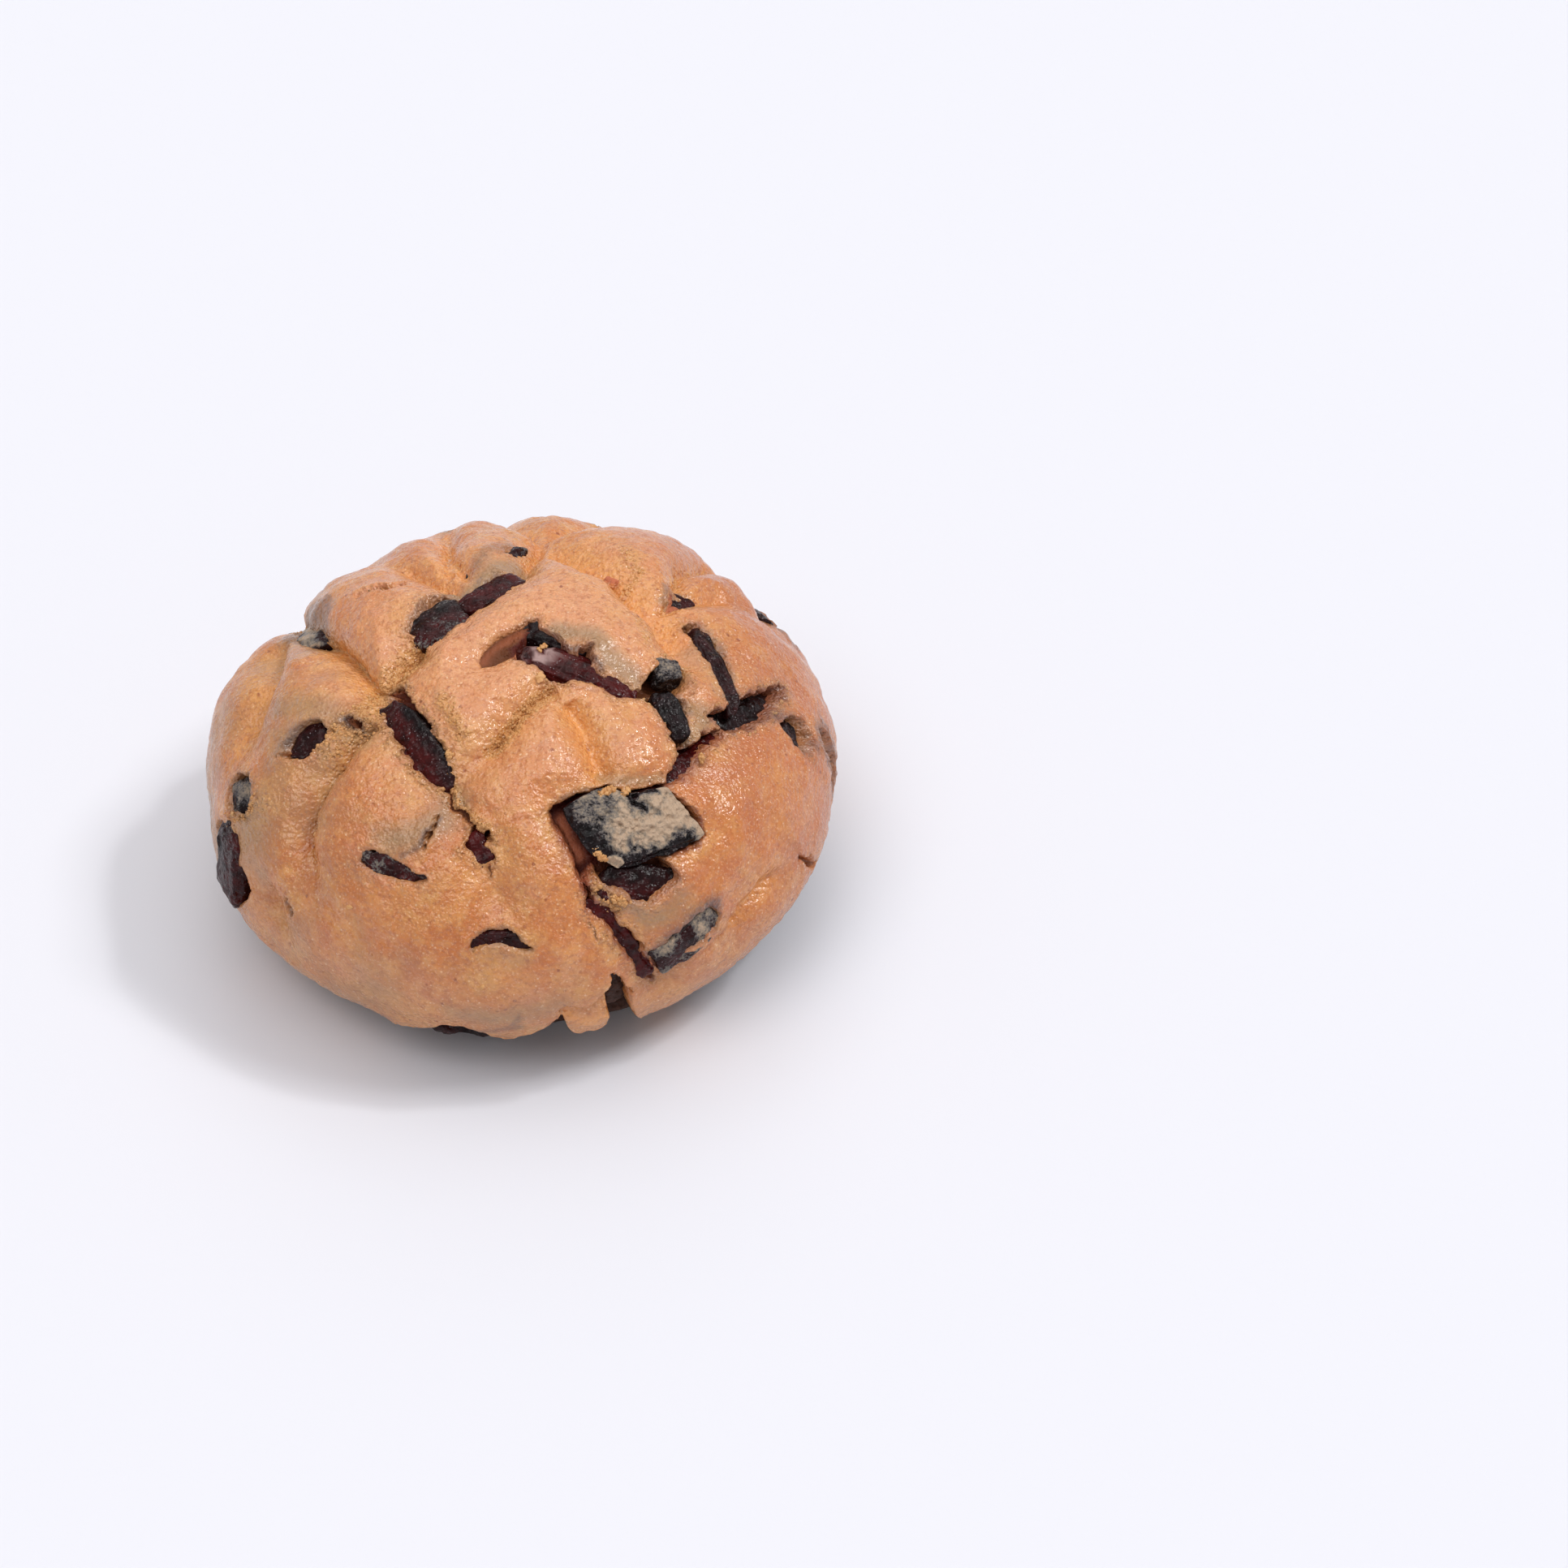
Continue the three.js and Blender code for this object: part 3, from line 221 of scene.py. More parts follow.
# dried fruit: azimuth, latitude, turn, half length, half width, half thickness, depth of its top,
# then the opening in the crust over it: share of length, share of width, depth (0 = only the crack shows it), and redness
FRUIT = {
    "left_crack": (-37.8, 45.2, -26, 9.8, 3.4, 1.4, 2.4, 0, 0, 0, 0.8),
    "left_hole": (-11.9, 27.2, -51, 3.6, 2.4, 1.3, 2.6, 0, 0, 0, 1.0),
    "crown_black": (-99.8, 68.3, 134, 5.6, 3.9, 1.8, 1.6, 0, 0, 0, 0.2),
    "crown_red": (-158.5, 73.6, -162, 6.2, 3.0, 1.5, 2.2, 0, 0, 0, 0.7),
    "centre_red": (38.3, 62.6, -66, 8.6, 3.0, 1.3, 2.6, 0, 0, 0, 1.0),
    "centre_black": (48, 74.8, -77, 6.0, 2.7, 1.85, 1.5, 0.7, 0.5, 2.0, 0.1),
    "pit_grey": (67.3, 48.4, -49, 2.6, 2.3, 2.2, 0.8, 0.9, 0.9, 2.2, 0.0),
    "pit_black": (51.9, 41.4, -119, 5.0, 2.5, 1.7, 1.8, 0, 0, 0, 0.1),
    "right_red": (48, 31.9, -3, 8.2, 2.9, 1.1, 3.0, 0, 0, 0, 1.0),
    "right_dark": (70.3, 29.3, -38, 8.0, 2.8, 1.2, 2.8, 0, 0, 0, 0.3),
    "right_long": (80.2, 37.5, -152, 8.6, 2.2, 1.95, 1.3, 0, 0, 0, 0.2),
    "diamond": (23.4, 27.3, -27, 10.8, 6.0, 2.25, 0.7, 0.98, 0.98, 1.6, 0.0),
    "purple_hole": (20.8, 17.6, -17, 6.6, 3.0, 1.3, 2.6, 0, 0, 0, 0.7),
    "front_red": (15, 8, -63, 9.2, 2.7, 1.1, 3.0, 0, 0, 0, 1.0),
    "skin_band": (27.4, 5, 21, 7.2, 3.4, 2.15, 0.9, 0.85, 0.45, 1.1, 0.2),
    "eye": (-28.9, 20.3, 2, 6.3, 2.6, 2.0, 1.0, 0, 0, 0, 0.4),
    "low_slit": (-6.2, 10.8, 2, 5.1, 2.2, 2.0, 0.8, 0, 0, 0, 0.3),
    "west": (-66.4, 32.7, 61, 3.9, 3.4, 2.2, -0.4, 0.9, 0.7, 0.8, 0.2),
    "west_grey": (-69.9, 15.9, -31, 3.6, 3.6, 2.2, 0.2, 0.8, 0.8, 0.9, 0.0),
    "west_rim": (-66.4, 3, -83, 7.8, 4.6, 2.4, -0.4, 0.95, 0.7, 1.2, 0.5),
    "east_slit": (74.4, 17.8, -155, 3.5, 2.4, 2.0, -0.4, 0.5, 0.3, 0.3, 0.1),
    "east_rim": (81, 5.6, -92, 6.4, 4.6, 2.2, 0.4, 0.9, 0.6, 2.0, 0.1),
    "rim_low": (-12.8, -19.2, -1, 5.2, 2.4, 2.4, -2.3, 0, 0, 0, 0.4),
    "high_left": (-115.4, 29.3, 155, 4.4, 6.6, 2.0, 1.6, 0, 0, 0, 0.1),
    "high_grey": (-172.1, 55.8, -126, 6.8, 3.3, 2.0, 1.6, 0.4, 0.4, 0.4, 0.1),
    "high_right": (111, 42.3, -116, 3.0, 2.4, 1.6, 2.2, 0, 0, 0, 0.2),
    "back_crack_a": (136.5, 12, 48, 7.6, 3.0, 1.4, 2.4, 0, 0, 0, 1.0),
    "back_crack_b": (-158, 12, 17, 7.4, 3.0, 1.4, 2.4, 0, 0, 0, 0.9),
    "back_crack_c": (155.5, 11.5, 54, 6.4, 2.8, 1.4, 2.4, 0, 0, 0, 0.8),
    "back_slab": (176, 8, 25, 7.0, 4.4, 2.4, 0.2, 0.95, 0.9, 1.2, 0.1),
    "back_low": (-140, 6, -30, 5.4, 3.2, 2.2, 0.3, 0.8, 0.6, 1.0, 0.3),
    "back_side": (116, 10, 70, 5.8, 3.4, 2.2, 0.3, 0.9, 0.7, 1.1, 0.1),
    "back_slit": (-124, 8, 12, 4.6, 2.4, 2.0, 0.9, 0, 0, 0, 0.3),
    "back_high": (-171, 20, 20, 4.8, 3.2, 2.0, 0.4, 0.8, 0.6, 1.0, 0.1),
}


# ------------------------------------------------------------------ small maths
def unit(v):
    return v / np.maximum(np.linalg.norm(v, axis=-1, keepdims=True), 1e-12)


def smooth(a, b, x):
    t = np.clip((x - a) / (b - a), 0, 1)
    return t * t * (3 - 2 * t)


def direction(az, lat):
    a, l = np.radians(az), np.radians(lat)
    return np.stack([np.sin(a) * np.cos(l), -np.cos(a) * np.cos(l), np.sin(l) + 0 * a], -1)


def _corner(ix, iy, iz, seed):
    h = (ix * 374761393 + iy * 668265263 + iz * 1440662683 + seed * 974711) & 0xFFFFFFFF
    h = ((h ^ (h >> 13)) * 1274126177) & 0xFFFFFFFF
    h = h ^ (h >> 16)
    h = (h * 2246822519) & 0xFFFFFFFF
    return ((h ^ (h >> 15)) & 0xFFFFFF) / float(0xFFFFFF) * 2 - 1


def noise(p, cell, seed=0):
    q = p / cell + 100.0
    i = np.floor(q).astype(np.int64)
    f = q - i
    f = f * f * f * (f * (f * 6 - 15) + 10)
    out = 0
    for dx in (0, 1):
        wx = f[..., 0] if dx else 1 - f[..., 0]
        for dy in (0, 1):
            wy = f[..., 1] if dy else 1 - f[..., 1]
            for dz in (0, 1):
                wz = f[..., 2] if dz else 1 - f[..., 2]
                out = out + wx * wy * wz * _corner(i[..., 0] + dx, i[..., 1] + dy, i[..., 2] + dz, seed)
    return out


def fbm(p, cell, octaves=3, seed=0, gain=0.5):
    out, a, s = 0, 1.0, 0.0
    for k in range(octaves):
        out = out + a * noise(p + 7.3 * k, cell / 2 ** k, seed + 11 * k)
        s += a
        a *= gain
    return out / s


def lobes(u):
    h = np.hypot(u[..., 0], u[..., 1])
    t = np.arctan2(u[..., 0], -u[..., 1])
    s = np.ones_like(h)
    for k, c, d in LOBES_LEVEL:
        s = s + h ** k * (c * np.cos(k * t) + d * np.sin(k * t))
    for k, c, d in LOBES_RISING:
        s = s + u[..., 2] * h ** k * (c * np.cos(k * t) + d * np.sin(k * t))
    return s


def oval(across, up, radius, rise, power):
    return ((across / radius) ** power + (np.abs(up) / rise) ** power) ** (-1 / power)


def envelope(u):
    c = np.hypot(u[..., 0], u[..., 1])
    top = oval(c, u[..., 2], RADIUS, HEIGHT - CENTRE_Z, CROWN_POWER)
    low = oval(c, u[..., 2], RADIUS, SKIRT_DROP, SKIRT_POWER)
    return lobes(u) * np.where(u[..., 2] >= 0, top, low)


def on_envelope(u):
    return u * envelope(u)[..., None]


def hump(az, at, width, power):
    return np.exp(-np.abs(((az - at + 540) % 360 - 180) / width) ** power)


def rim_height(az):
    r = np.radians(az)
    return RIM_Z + 0.8 * np.sin(3 * r + 0.6) + 0.6 * np.sin(7 * r) + 14 * hump(az, 68, 28, 2) + 2.4 * hump(az, -12, 17, 4) - 1.6 * hump(az, 7, 4, 2) + 3 * hump(az, 150, 18, 2)


def lay_path(path):
    pts = []
    for i in range(len(path) - 1):
        a, b = direction(*path[i]), direction(*path[i + 1])
        n = max(1, int(math.ceil(math.degrees(math.acos(min(1, float(a @ b)))) / 3)))
        for j in range(1 if i else 0, n + 1):
            pts.append(on_envelope(unit(a + (b - a) * j / n)))
    return np.array(pts)


def path_distance(q, pts, reach):
    """distance of points q to a polyline, and how far along it, 1e3 beyond reach"""
    d = np.full(len(q), 1e3)
    along = np.zeros(len(q))
    mid, rad = (pts.min(0) + pts.max(0)) / 2, np.linalg.norm(pts.max(0) - pts.min(0)) / 2
    near = np.where(np.linalg.norm(q - mid, axis=1) < rad + reach)[0]
    if not len(near):
        return d, along
    qn = q[near]
    best = np.full(len(near), 1e3)
    al = np.zeros(len(near))
    total = len(pts) - 1
    for k in range(total):
        a, e = pts[k], pts[k + 1] - pts[k]
        f = qn - a
        t = np.clip(f @ e / (e @ e), 0, 1)
        dd = np.linalg.norm(f - t[:, None] * e, axis=1)
        m = dd < best
        best[m] = dd[m]
        al[m] = (k + t[m]) / total
    d[near] = best
    along[near] = al
    return d, along


# ------------------------------------------------------------------ meshes of directions
def geodesic(n):
    g = (1 + 5 ** 0.5) / 2
    V = unit(np.array([(-1, g, 0), (1, g, 0), (-1, -g, 0), (1, -g, 0), (0, -1, g), (0, 1, g), (0, -1, -g), (0, 1, -g), (g, 0, -1), (g, 0, 1), (-g, 0, -1), (-g, 0, 1)], float))
    F = [(0, 11, 5), (0, 5, 1), (0, 1, 7), (0, 7, 10), (0, 10, 11), (1, 5, 9), (5, 11, 4), (11, 10, 2), (10, 7, 6), (7, 1, 8), (3, 9, 4), (3, 4, 2), (3, 2, 6), (3, 6, 8), (3, 8, 9), (4, 9, 5), (2, 4, 11), (6, 2, 10), (8, 6, 7), (9, 8, 1)]
    keys, verts, tris = {}, [], []
    def vid(p):
        k = tuple(np.round(p, 6))
        if k not in keys:
            keys[k] = len(verts)
            verts.append(p)
        return keys[k]
    for a, b, c in F:
        A, B, C = V[a], V[b], V[c]
        grid = {}
        for i in range(n + 1):
            for j in range(n + 1 - i):
                grid[i, j] = vid(unit(A + (B - A) * i / n + (C - A) * j / n))
        for i in range(n):
            for j in range(n - i):
                tris.append((grid[i, j], grid[i + 1, j], grid[i, j + 1]))
                if i + j < n - 1:
                    tris.append((grid[i + 1, j], grid[i + 1, j + 1], grid[i, j + 1]))
    return np.array(verts), np.array(tris, np.int64)


def refine(V, T, mark):
    """split marked triangles in four, and their neighbours so that no gap opens"""
    E = np.sort(np.concatenate([T[:, [0, 1]], T[:, [1, 2]], T[:, [2, 0]]]), axis=1)
    key = E[:, 0] * (len(V) + 1) + E[:, 1]
    uk, inv = np.unique(key, return_inverse=True)
    inv = inv.reshape(3, -1).T
    mark = mark.copy()
    for _ in range(60):
        split = np.zeros(len(uk), bool)
        split[inv[mark].ravel()] = True
        cnt = split[inv].sum(1)
        more = (cnt >= 2) & ~mark
        if not more.any():
            break
        mark |= more
    ids = np.full(len(uk), -1, np.int64)
    ids[split] = len(V) + np.arange(split.sum())
    a, b = uk[split] // (len(V) + 1), uk[split] % (len(V) + 1)
    V2 = np.concatenate([V, unit(V[a] + V[b])])
    m = ids[inv]
    full = mark
    t, mm = T[full], m[full]
    out = [np.stack([t[:, 0], mm[:, 0], mm[:, 2]], 1), np.stack([mm[:, 0], t[:, 1], mm[:, 1]], 1), np.stack([mm[:, 2], mm[:, 1], t[:, 2]], 1), mm]
    one = ~full & (cnt == 1)
    t, mm = T[one], m[one]
    k = np.argmax(mm >= 0, axis=1)
    r = np.arange(len(t))
    a, b, c, s = t[r, k], t[r, (k + 1) % 3], t[r, (k + 2) % 3], mm[r, k]
    out += [np.stack([a, s, c], 1), np.stack([s, b, c], 1), T[~full & (cnt == 0)]]
    return V2, np.concatenate(out)


def vertex_normals(P, T):
    n = np.cross(P[T[:, 1]] - P[T[:, 0]], P[T[:, 2]] - P[T[:, 0]])
    out = np.zeros_like(P)
    for k in range(3):
        for c in range(3):
            out[:, c] += np.bincount(T[:, k], n[:, c], len(P))
    return unit(out)


def make_mesh(name, P, T, attrs=None, smooth_faces=True):
    me = bpy.data.meshes.new(name)
    me.vertices.add(len(P))
    me.vertices.foreach_set("co", (np.asarray(P) * MM).astype(np.float32).ravel())
    me.loops.add(3 * len(T))
    me.loops.foreach_set("vertex_index", np.asarray(T, np.int32).ravel())
    me.polygons.add(len(T))
    me.polygons.foreach_set("loop_start", np.arange(0, 3 * len(T), 3, dtype=np.int32))
    me.polygons.foreach_set("loop_total", np.full(len(T), 3, np.int32))
    me.polygons.foreach_set("use_smooth", np.full(len(T), smooth_faces, bool))
    me.update(calc_edges=True)
    me.validate()
    for k, v in (attrs or {}).items():
        a = me.attributes.new(k, "FLOAT", "POINT")
        a.data.foreach_set("value", np.asarray(v, np.float32))
    ob = bpy.data.objects.new(name, me)
    bpy.context.scene.collection.objects.link(ob)
    return ob


# ------------------------------------------------------------------ fruit frames
def fruit_frame(spec):
    az, lat, turn, a, b, c, sink = spec[:7]
    u = direction(az, lat)
    p = on_envelope(u)
    e = np.array([math.cos(math.radians(az)), math.sin(math.radians(az)), 0.0])
    north = np.cross(u, e)
    s = 0.03
    n = unit(np.cross(on_envelope(unit(u + e * s)) - p, on_envelope(unit(u + north * s)) - p))
    x = e * math.cos(math.radians(turn)) + north * math.sin(math.radians(turn))
    x = unit(x - n * (x @ n))
    return p, x, np.cross(n, x), n


BARE = ("east_rim", "rim_low", "high_left", "high_right", "back_slab", "back_low", "back_side", "back_slit", "back_high", "back_crack_a", "back_crack_b", "back_crack_c")
FRAMES = {k: fruit_frame(v) for k, v in FRUIT.items()}
SEEDS = {k: i + 1 for i, k in enumerate(FRUIT)}


# ------------------------------------------------------------------ crust surface
class Outline:
    """a closed outline laid on the envelope, measured in its own best plane"""

    def __init__(self, ring):
        p = np.array([on_envelope(direction(a, l)) for a, l in ring])
        self.c = p.mean(0)
        axes = np.linalg.svd(p - self.c)[2]
        self.x, self.y = axes[0], axes[1]
        self.p = np.stack([(p - self.c) @ self.x, (p - self.c) @ self.y], -1)
        self.r = np.linalg.norm(p - self.c, axis=1).max()

    def distance(self, q, reach=5.0):
        """signed distance, negative inside, 1e3 beyond reach"""
        out = np.full(len(q), 1e3)
        near = np.where(np.linalg.norm(q - self.c, axis=1) < self.r + reach)[0]
        if not len(near):
            return out
        f = q[near] - self.c
        z = np.stack([f @ self.x, f @ self.y], -1)
        best, inside = np.full(len(near), 1e3), np.zeros(len(near), bool)
        for i in range(len(self.p)):
            a, b = self.p[i], self.p[(i + 1) % len(self.p)]
            e = b - a
            t = np.clip((z - a) @ e / max(e @ e, 1e-9), 0, 1)
            best = np.minimum(best, np.linalg.norm(z - a - t[:, None] * e, axis=1))
            cross = (a[1] > z[:, 1]) != (b[1] > z[:, 1])
            if abs(e[1]) > 1e-9:
                inside ^= cross & (z[:, 0] < a[0] + (z[:, 1] - a[1]) * e[0] / e[1])
        out[near] = np.where(inside, -best, best)
        return out


LAID_SCORE = [(w, d, lay_path(p)) for w, d, o, p in SCORE]
LAID_CREASE = [c[:6] + (lay_path(c[6]),) for c in CREASES]
LAID_FINE = [(w, d, j, lay_path(p)) for w, d, j, p in FINE]
LAID_STROKE = [(k, w, s, lay_path(p)) for k, w, s, p in STROKES]
LAID_HOLE = {k: h[:4] + (Outline(h[4]),) for k, h in HOLES.items()}
LAID_NOTCH, LAID_NICK = lay_path(NOTCH), lay_path(NICK)
# how ragged an opening is, where less than fully
CALM = {"leaf": 0.25, "eye": 0.35, "low": 0.25, "west_dot": 0.4, "crown": 0.7, "pit": 0.6, "west": 0.6, "west_rim": 0.6, "purple": 0.6, "diamond": 0.55, "centre": 0.8, "right_long": 0.7, "skin": 0.8}
PAINTS = ("crumb", "orange", "ink", "olive_stain_and_shade", "wine", "brown_bake_and_shade", "gloss")


# local swellings of the outline: azimuth, latitude, radius, height
BULGES = [(-128, 40, 12, 1.5), (-160, 34, 12, 1.1), (108, 32, 11, 1.2), (136, 34, 11, 1.0), (-10, -14, 16, 1.1), (-45, -8, 12, -0.3), (-82, 2, 9, -1.6), (-104, 11, 8, 1.3), (-119, 18, 8, 1.2), (7.6, -15.5, 3.6, 0.9)]
LAID_BULGE = [(on_envelope(direction(float(a), float(l))), r, h) for a, l, r, h in BULGES]


def bulge_at(q):
    return sum(h * np.exp(-(np.linalg.norm(q - p, axis=1) / r) ** 2) for p, r, h in LAID_BULGE)


def crust_fields(u):
    """everything the crust needs at directions u: depth below the envelope and the paint masks"""
    q = on_envelope(u)
    n = len(q)
    warp = np.stack([fbm(q, 5.0, 3, s) for s in (3, 5, 9)], -1)
    fine = np.stack([fbm(q, 1.5, 2, s) for s in (13, 15, 19)], -1)
    paint = {k: np.zeros(n) for k in PAINTS}
    # the broad sag between tiles
    valley, dscore = np.zeros(n), np.full(n, 1e3)
    qs = q + 0.8 * warp
    for w, d, pts in LAID_SCORE:
        dist, al = path_distance(qs, pts, 3.0 * w)
        g = 0.75 * d * np.exp(-(dist / w) ** 1.5)
        valley = np.maximum(valley, g) + 0.25 * np.minimum(valley, g)
        dscore = np.minimum(dscore, dist)
    # the creases themselves
    crease, step = np.zeros(n), np.zeros(n)
    qc = q + 0.45 * warp + 0.35 * fine
    for w, d, power, c, o, s, pts in LAID_CREASE:
        dist, al = path_distance(qc, pts, 3 * w + 8)
        ends = 0.25 + 0.75 * smooth(0, 0.14, al) * smooth(0, 0.14, 1 - al)
        g = (1.15 * d * np.exp(-(dist / w) ** power) + 0.45 * np.exp(-(dist / (w + 2.0)) ** 2)) * ends
        crease = np.maximum(crease, g) + 0.3 * np.minimum(crease, g)
        k = np.exp(-(dist / (1.25 * w)) ** 2) * ends
        paint["crumb"] = np.maximum(paint["crumb"], k * c)
        paint["orange"] = np.maximum(paint["orange"], np.exp(-(dist / (1.6 * w)) ** 2) * ends * o)
        if s:
            near = np.where(dist < 14)[0]
            i = np.clip((al[near] * (len(pts) - 1)).astype(int), 0, len(pts) - 2)
            side = np.einsum("ij,ij->i", np.cross(u[near], pts[i + 1] - pts[i]), q[near] - pts[i])
            step[near] += s * ends[near] * np.sign(side) * np.tanh(dist[near] / 0.45) * np.exp(-(dist[near] / 4.0) ** 1.4)
    for kind, w, s, pts in LAID_STROKE:
        dist, al = path_distance(qc, pts, 2.6 * w + 1)
        paint[kind] = np.maximum(paint[kind], s * np.exp(-(dist / w) ** 2))
    # openings: straight torn walls down to the fruit
    jag = np.stack([noise(q, 0.75, s) for s in (23, 25, 29)], -1)
    qh = q + 0.25 * warp + 0.75 * fine + 0.22 * jag
    edge_all, floor, lip, fringe, juice = np.zeros(n), np.zeros(n), np.zeros(n), np.zeros(n), np.zeros(n)
    for name, (d, j, c, f, out) in LAID_HOLE.items():
        s = out.distance(q + CALM.get(name, 1.0) * (qh - q))
        edge = 1 - smooth(-0.35, 0.28, s)
        floor = np.where(edge > edge_all, d, floor)
        edge_all = np.maximum(edge_all, edge)
        over = np.maximum(s, 0)
        juice = np.maximum(juice, j * np.exp(-(over / 0.75) ** 1.3))
        lip = np.maximum(lip, c * np.exp(-((s - 0.9) / 0.9) ** 2))
        fringe = np.maximum(fringe, f * np.exp(-(over / 0.7) ** 1.3))
        paint["olive_stain_and_shade"] = np.maximum(paint["olive_stain_and_shade"], 0.55 * c * np.exp(-(over / 2.2) ** 2))
    for w, d, j, pts in LAID_FINE:
        dist, al = path_distance(qh, pts, w + 4)
        ww = w * (0.30 + 0.70 * np.sin(np.pi * np.clip(al, 0.04, 0.96)) ** 0.5)
        s = dist - ww
        edge = (1 - smooth(-0.35 * ww, 0.25, s)) * 1.0
        floor = np.where(edge > edge_all, d, floor)
        edge_all = np.maximum(edge_all, edge)
        juice = np.maximum(juice, j * np.exp(-(np.maximum(s, 0) / 0.6) ** 1.3))
        lip = np.maximum(lip, 0.5 * min(1, w) * np.exp(-((s - 0.7) / 0.7) ** 2))
    # fruit pieces that lie bare near the rim and round the back, and the stain they leave
    for k, spec in FRUIT.items():
        if k in BARE:
            p, x, y, nn = FRAMES[k]
            a, b, c, sink, ox, oy, od = spec[3:10]
            near = np.where(np.linalg.norm(q - p, axis=1) < max(a, b) + 8)[0]
            f = q[near] - p + 1.3 * warp[near] + 0.9 * fine[near] + 0.2 * jag[near]
            X, Y = f @ x, f @ y
            r = ((np.abs(X) / a) ** 3 + (np.abs(Y) / b) ** 3) ** (1 / 3)
            over = np.maximum(r - 1, 0) * min(a, b)
            paint["ink"][near] = np.maximum(paint["ink"][near], 0.5 * np.exp(-(over / 0.7) ** 1.3))
            paint["olive_stain_and_shade"][near] = np.maximum(paint["olive_stain_and_shade"][near], 0.22 * np.exp(-(over / 2.0) ** 2))
            if od > 0:
                rr = ((np.abs(X) / (a * ox)) ** 2.6 + (np.abs(Y) / (b * oy)) ** 2.6) ** (1 / 2.6)
                s = (rr - 1) * min(a * ox, b * oy)
                edge = 1 - smooth(-0.5, 0.15, s)
                fl = floor[near]
                floor[near] = np.where(edge > edge_all[near], max(sink + od, 1.6), fl)
                edge_all[near] = np.maximum(edge_all[near], edge)
                juice[near] = np.maximum(juice[near], spec[10] * np.exp(-(np.maximum(s, 0) / 0.6) ** 2))
                lip[near] = np.maximum(lip[near], 0.4 * np.exp(-((s - 0.8) / 0.8) ** 2))
    nd, al = path_distance(qh, LAID_NOTCH, 6)
    notch = 1 - smooth(-0.35, 0.25, nd - (0.12 + 1.75 * smooth(0.08, 0.45, al)))
    nd, al = path_distance(qh, LAID_NICK, 6)
    notch = np.maximum(notch, 0.8 * (1 - smooth(-0.3, 0.25, nd - (0.15 + 0.5 * al))))
    paint["ink"] = np.maximum(paint["ink"], fringe)
    # painted shade: greyer olive on the lower left flank, browner on the lower right flank
    low, drift = 1 - smooth(0.40, 0.90, u[:, 2]), 0.6 * fbm(q, 12, 2, 61)
    paint["olive_stain_and_shade"] = np.maximum(paint["olive_stain_and_shade"], (0.42 + drift) * smooth(0.15, 0.75, -u[:, 0]) * low)
    paint["brown_bake_and_shade"] = np.maximum(paint["brown_bake_and_shade"], (0.88 + drift) * smooth(0.22, 0.65, u[:, 0]) * low)
    rough = np.clip(paint["crumb"] + lip + 0.5 * edge_all * (edge_all < 0.97), 0, 1)
    lumps = 0.70 * fbm(q, 10, 2, 31) + 0.24 * fbm(q, 4.2, 2, 37) + 0.13 * noise(q, 2.0, 38)
    grain = 0.07 * noise(q, 1.2, 41) + 0.06 * noise(q, 0.6, 42) + rough * (0.38 * noise(q, 1.25, 43) + 0.26 * noise(q, 0.6, 44))
    pits = 0.5 * np.clip(noise(q, 1.5, 45) - 0.42, 0, 1) * smooth(0.0, 0.35, noise(q, 8, 46) + 0.1)
    puff = 0.9 * (1 - np.exp(-(dscore / 6.0) ** 2)) - 0.6 + bulge_at(q)
    skin = valley + crease - step - lumps - grain - puff + pits - 0.22 * lip
    total = skin * (1 - edge_all) + (floor - 0.5 * grain) * edge_all
    total = np.minimum(total, CRUST_THICK - 0.9 + 0.2 * fine[:, 0])
    total = total + notch * (CRUST_THICK + 2.6 - total)
    paint.update(sag=np.clip(valley / 2.2 + 0.25 * crease, 0, 1), hole=np.maximum(edge_all, notch), juice=juice * (1 - notch), rough=rough, lip=lip, notch=notch)
    return q, total, paint


# the small rises and drips of the crust's edge along the front: azimuth, height over the plain rim
RIM_EDGE = [(-40, 0), (-30, 2.0), (-22, 3.9), (-16, 3.5), (-10, 3.3), (-8.3, 2.7), (-6.6, 1.2), (-4, 1.6), (-1.2, 2.2), (0.3, 3.5), (1.8, 4.8), (3.0, 5.0), (3.5, 6.4), (4.0, 6.8), (4.4, 5.7), (4.9, 5.1), (5.6, 5.0), (6.6, 5.1),
            (7.8, 5.2), (9.0, 5.0), (10.2, 4.8), (11.0, 4.8), (11.8, 5.1), (12.4, 5.9), (12.9, 7.0), (15.4, 5.6), (16.0, 4.7), (16.9, 3.8), (17.8, 2.4), (18.8, 1.4), (20.3, -0.5), (23.2, -3.4), (26, -4.6), (29.1, -4.4), (30.8, -2.4), (36, 0)]


def rim_latitude(az):
    ring = direction(az, 0 * az) * 50
    ragged = (1.1 * fbm(ring, 7, 2, 51) + 0.6 * noise(ring, 2.4, 53) + 0.35 * noise(ring, 1.2, 54)) * (1 + 0.9 * hump(az, 68, 34, 2))
    drip = 2.6 * hump(az, 3.1, 1.5, 2) + 1.0 * hump(az, -2, 3, 2) + 1.6 * hump(az, -15, 6, 4) - 0.5 * hump(az, 7.6, 3.0, 4) - 0.6 * hump(az, -6.8, 1.6, 2)
    lat = np.full(np.shape(az), -18.0)
    zr = rim_height(az) + ragged + drip + np.interp(az, [e[0] for e in RIM_EDGE], [e[1] for e in RIM_EDGE])
    for _ in range(6):
        r = envelope(direction(az, lat))
        lat = -np.degrees(np.arcsin(np.clip((CENTRE_Z - zr) / r, -0.95, 0.95)))
    return lat


LIP_SPAN = 13.0


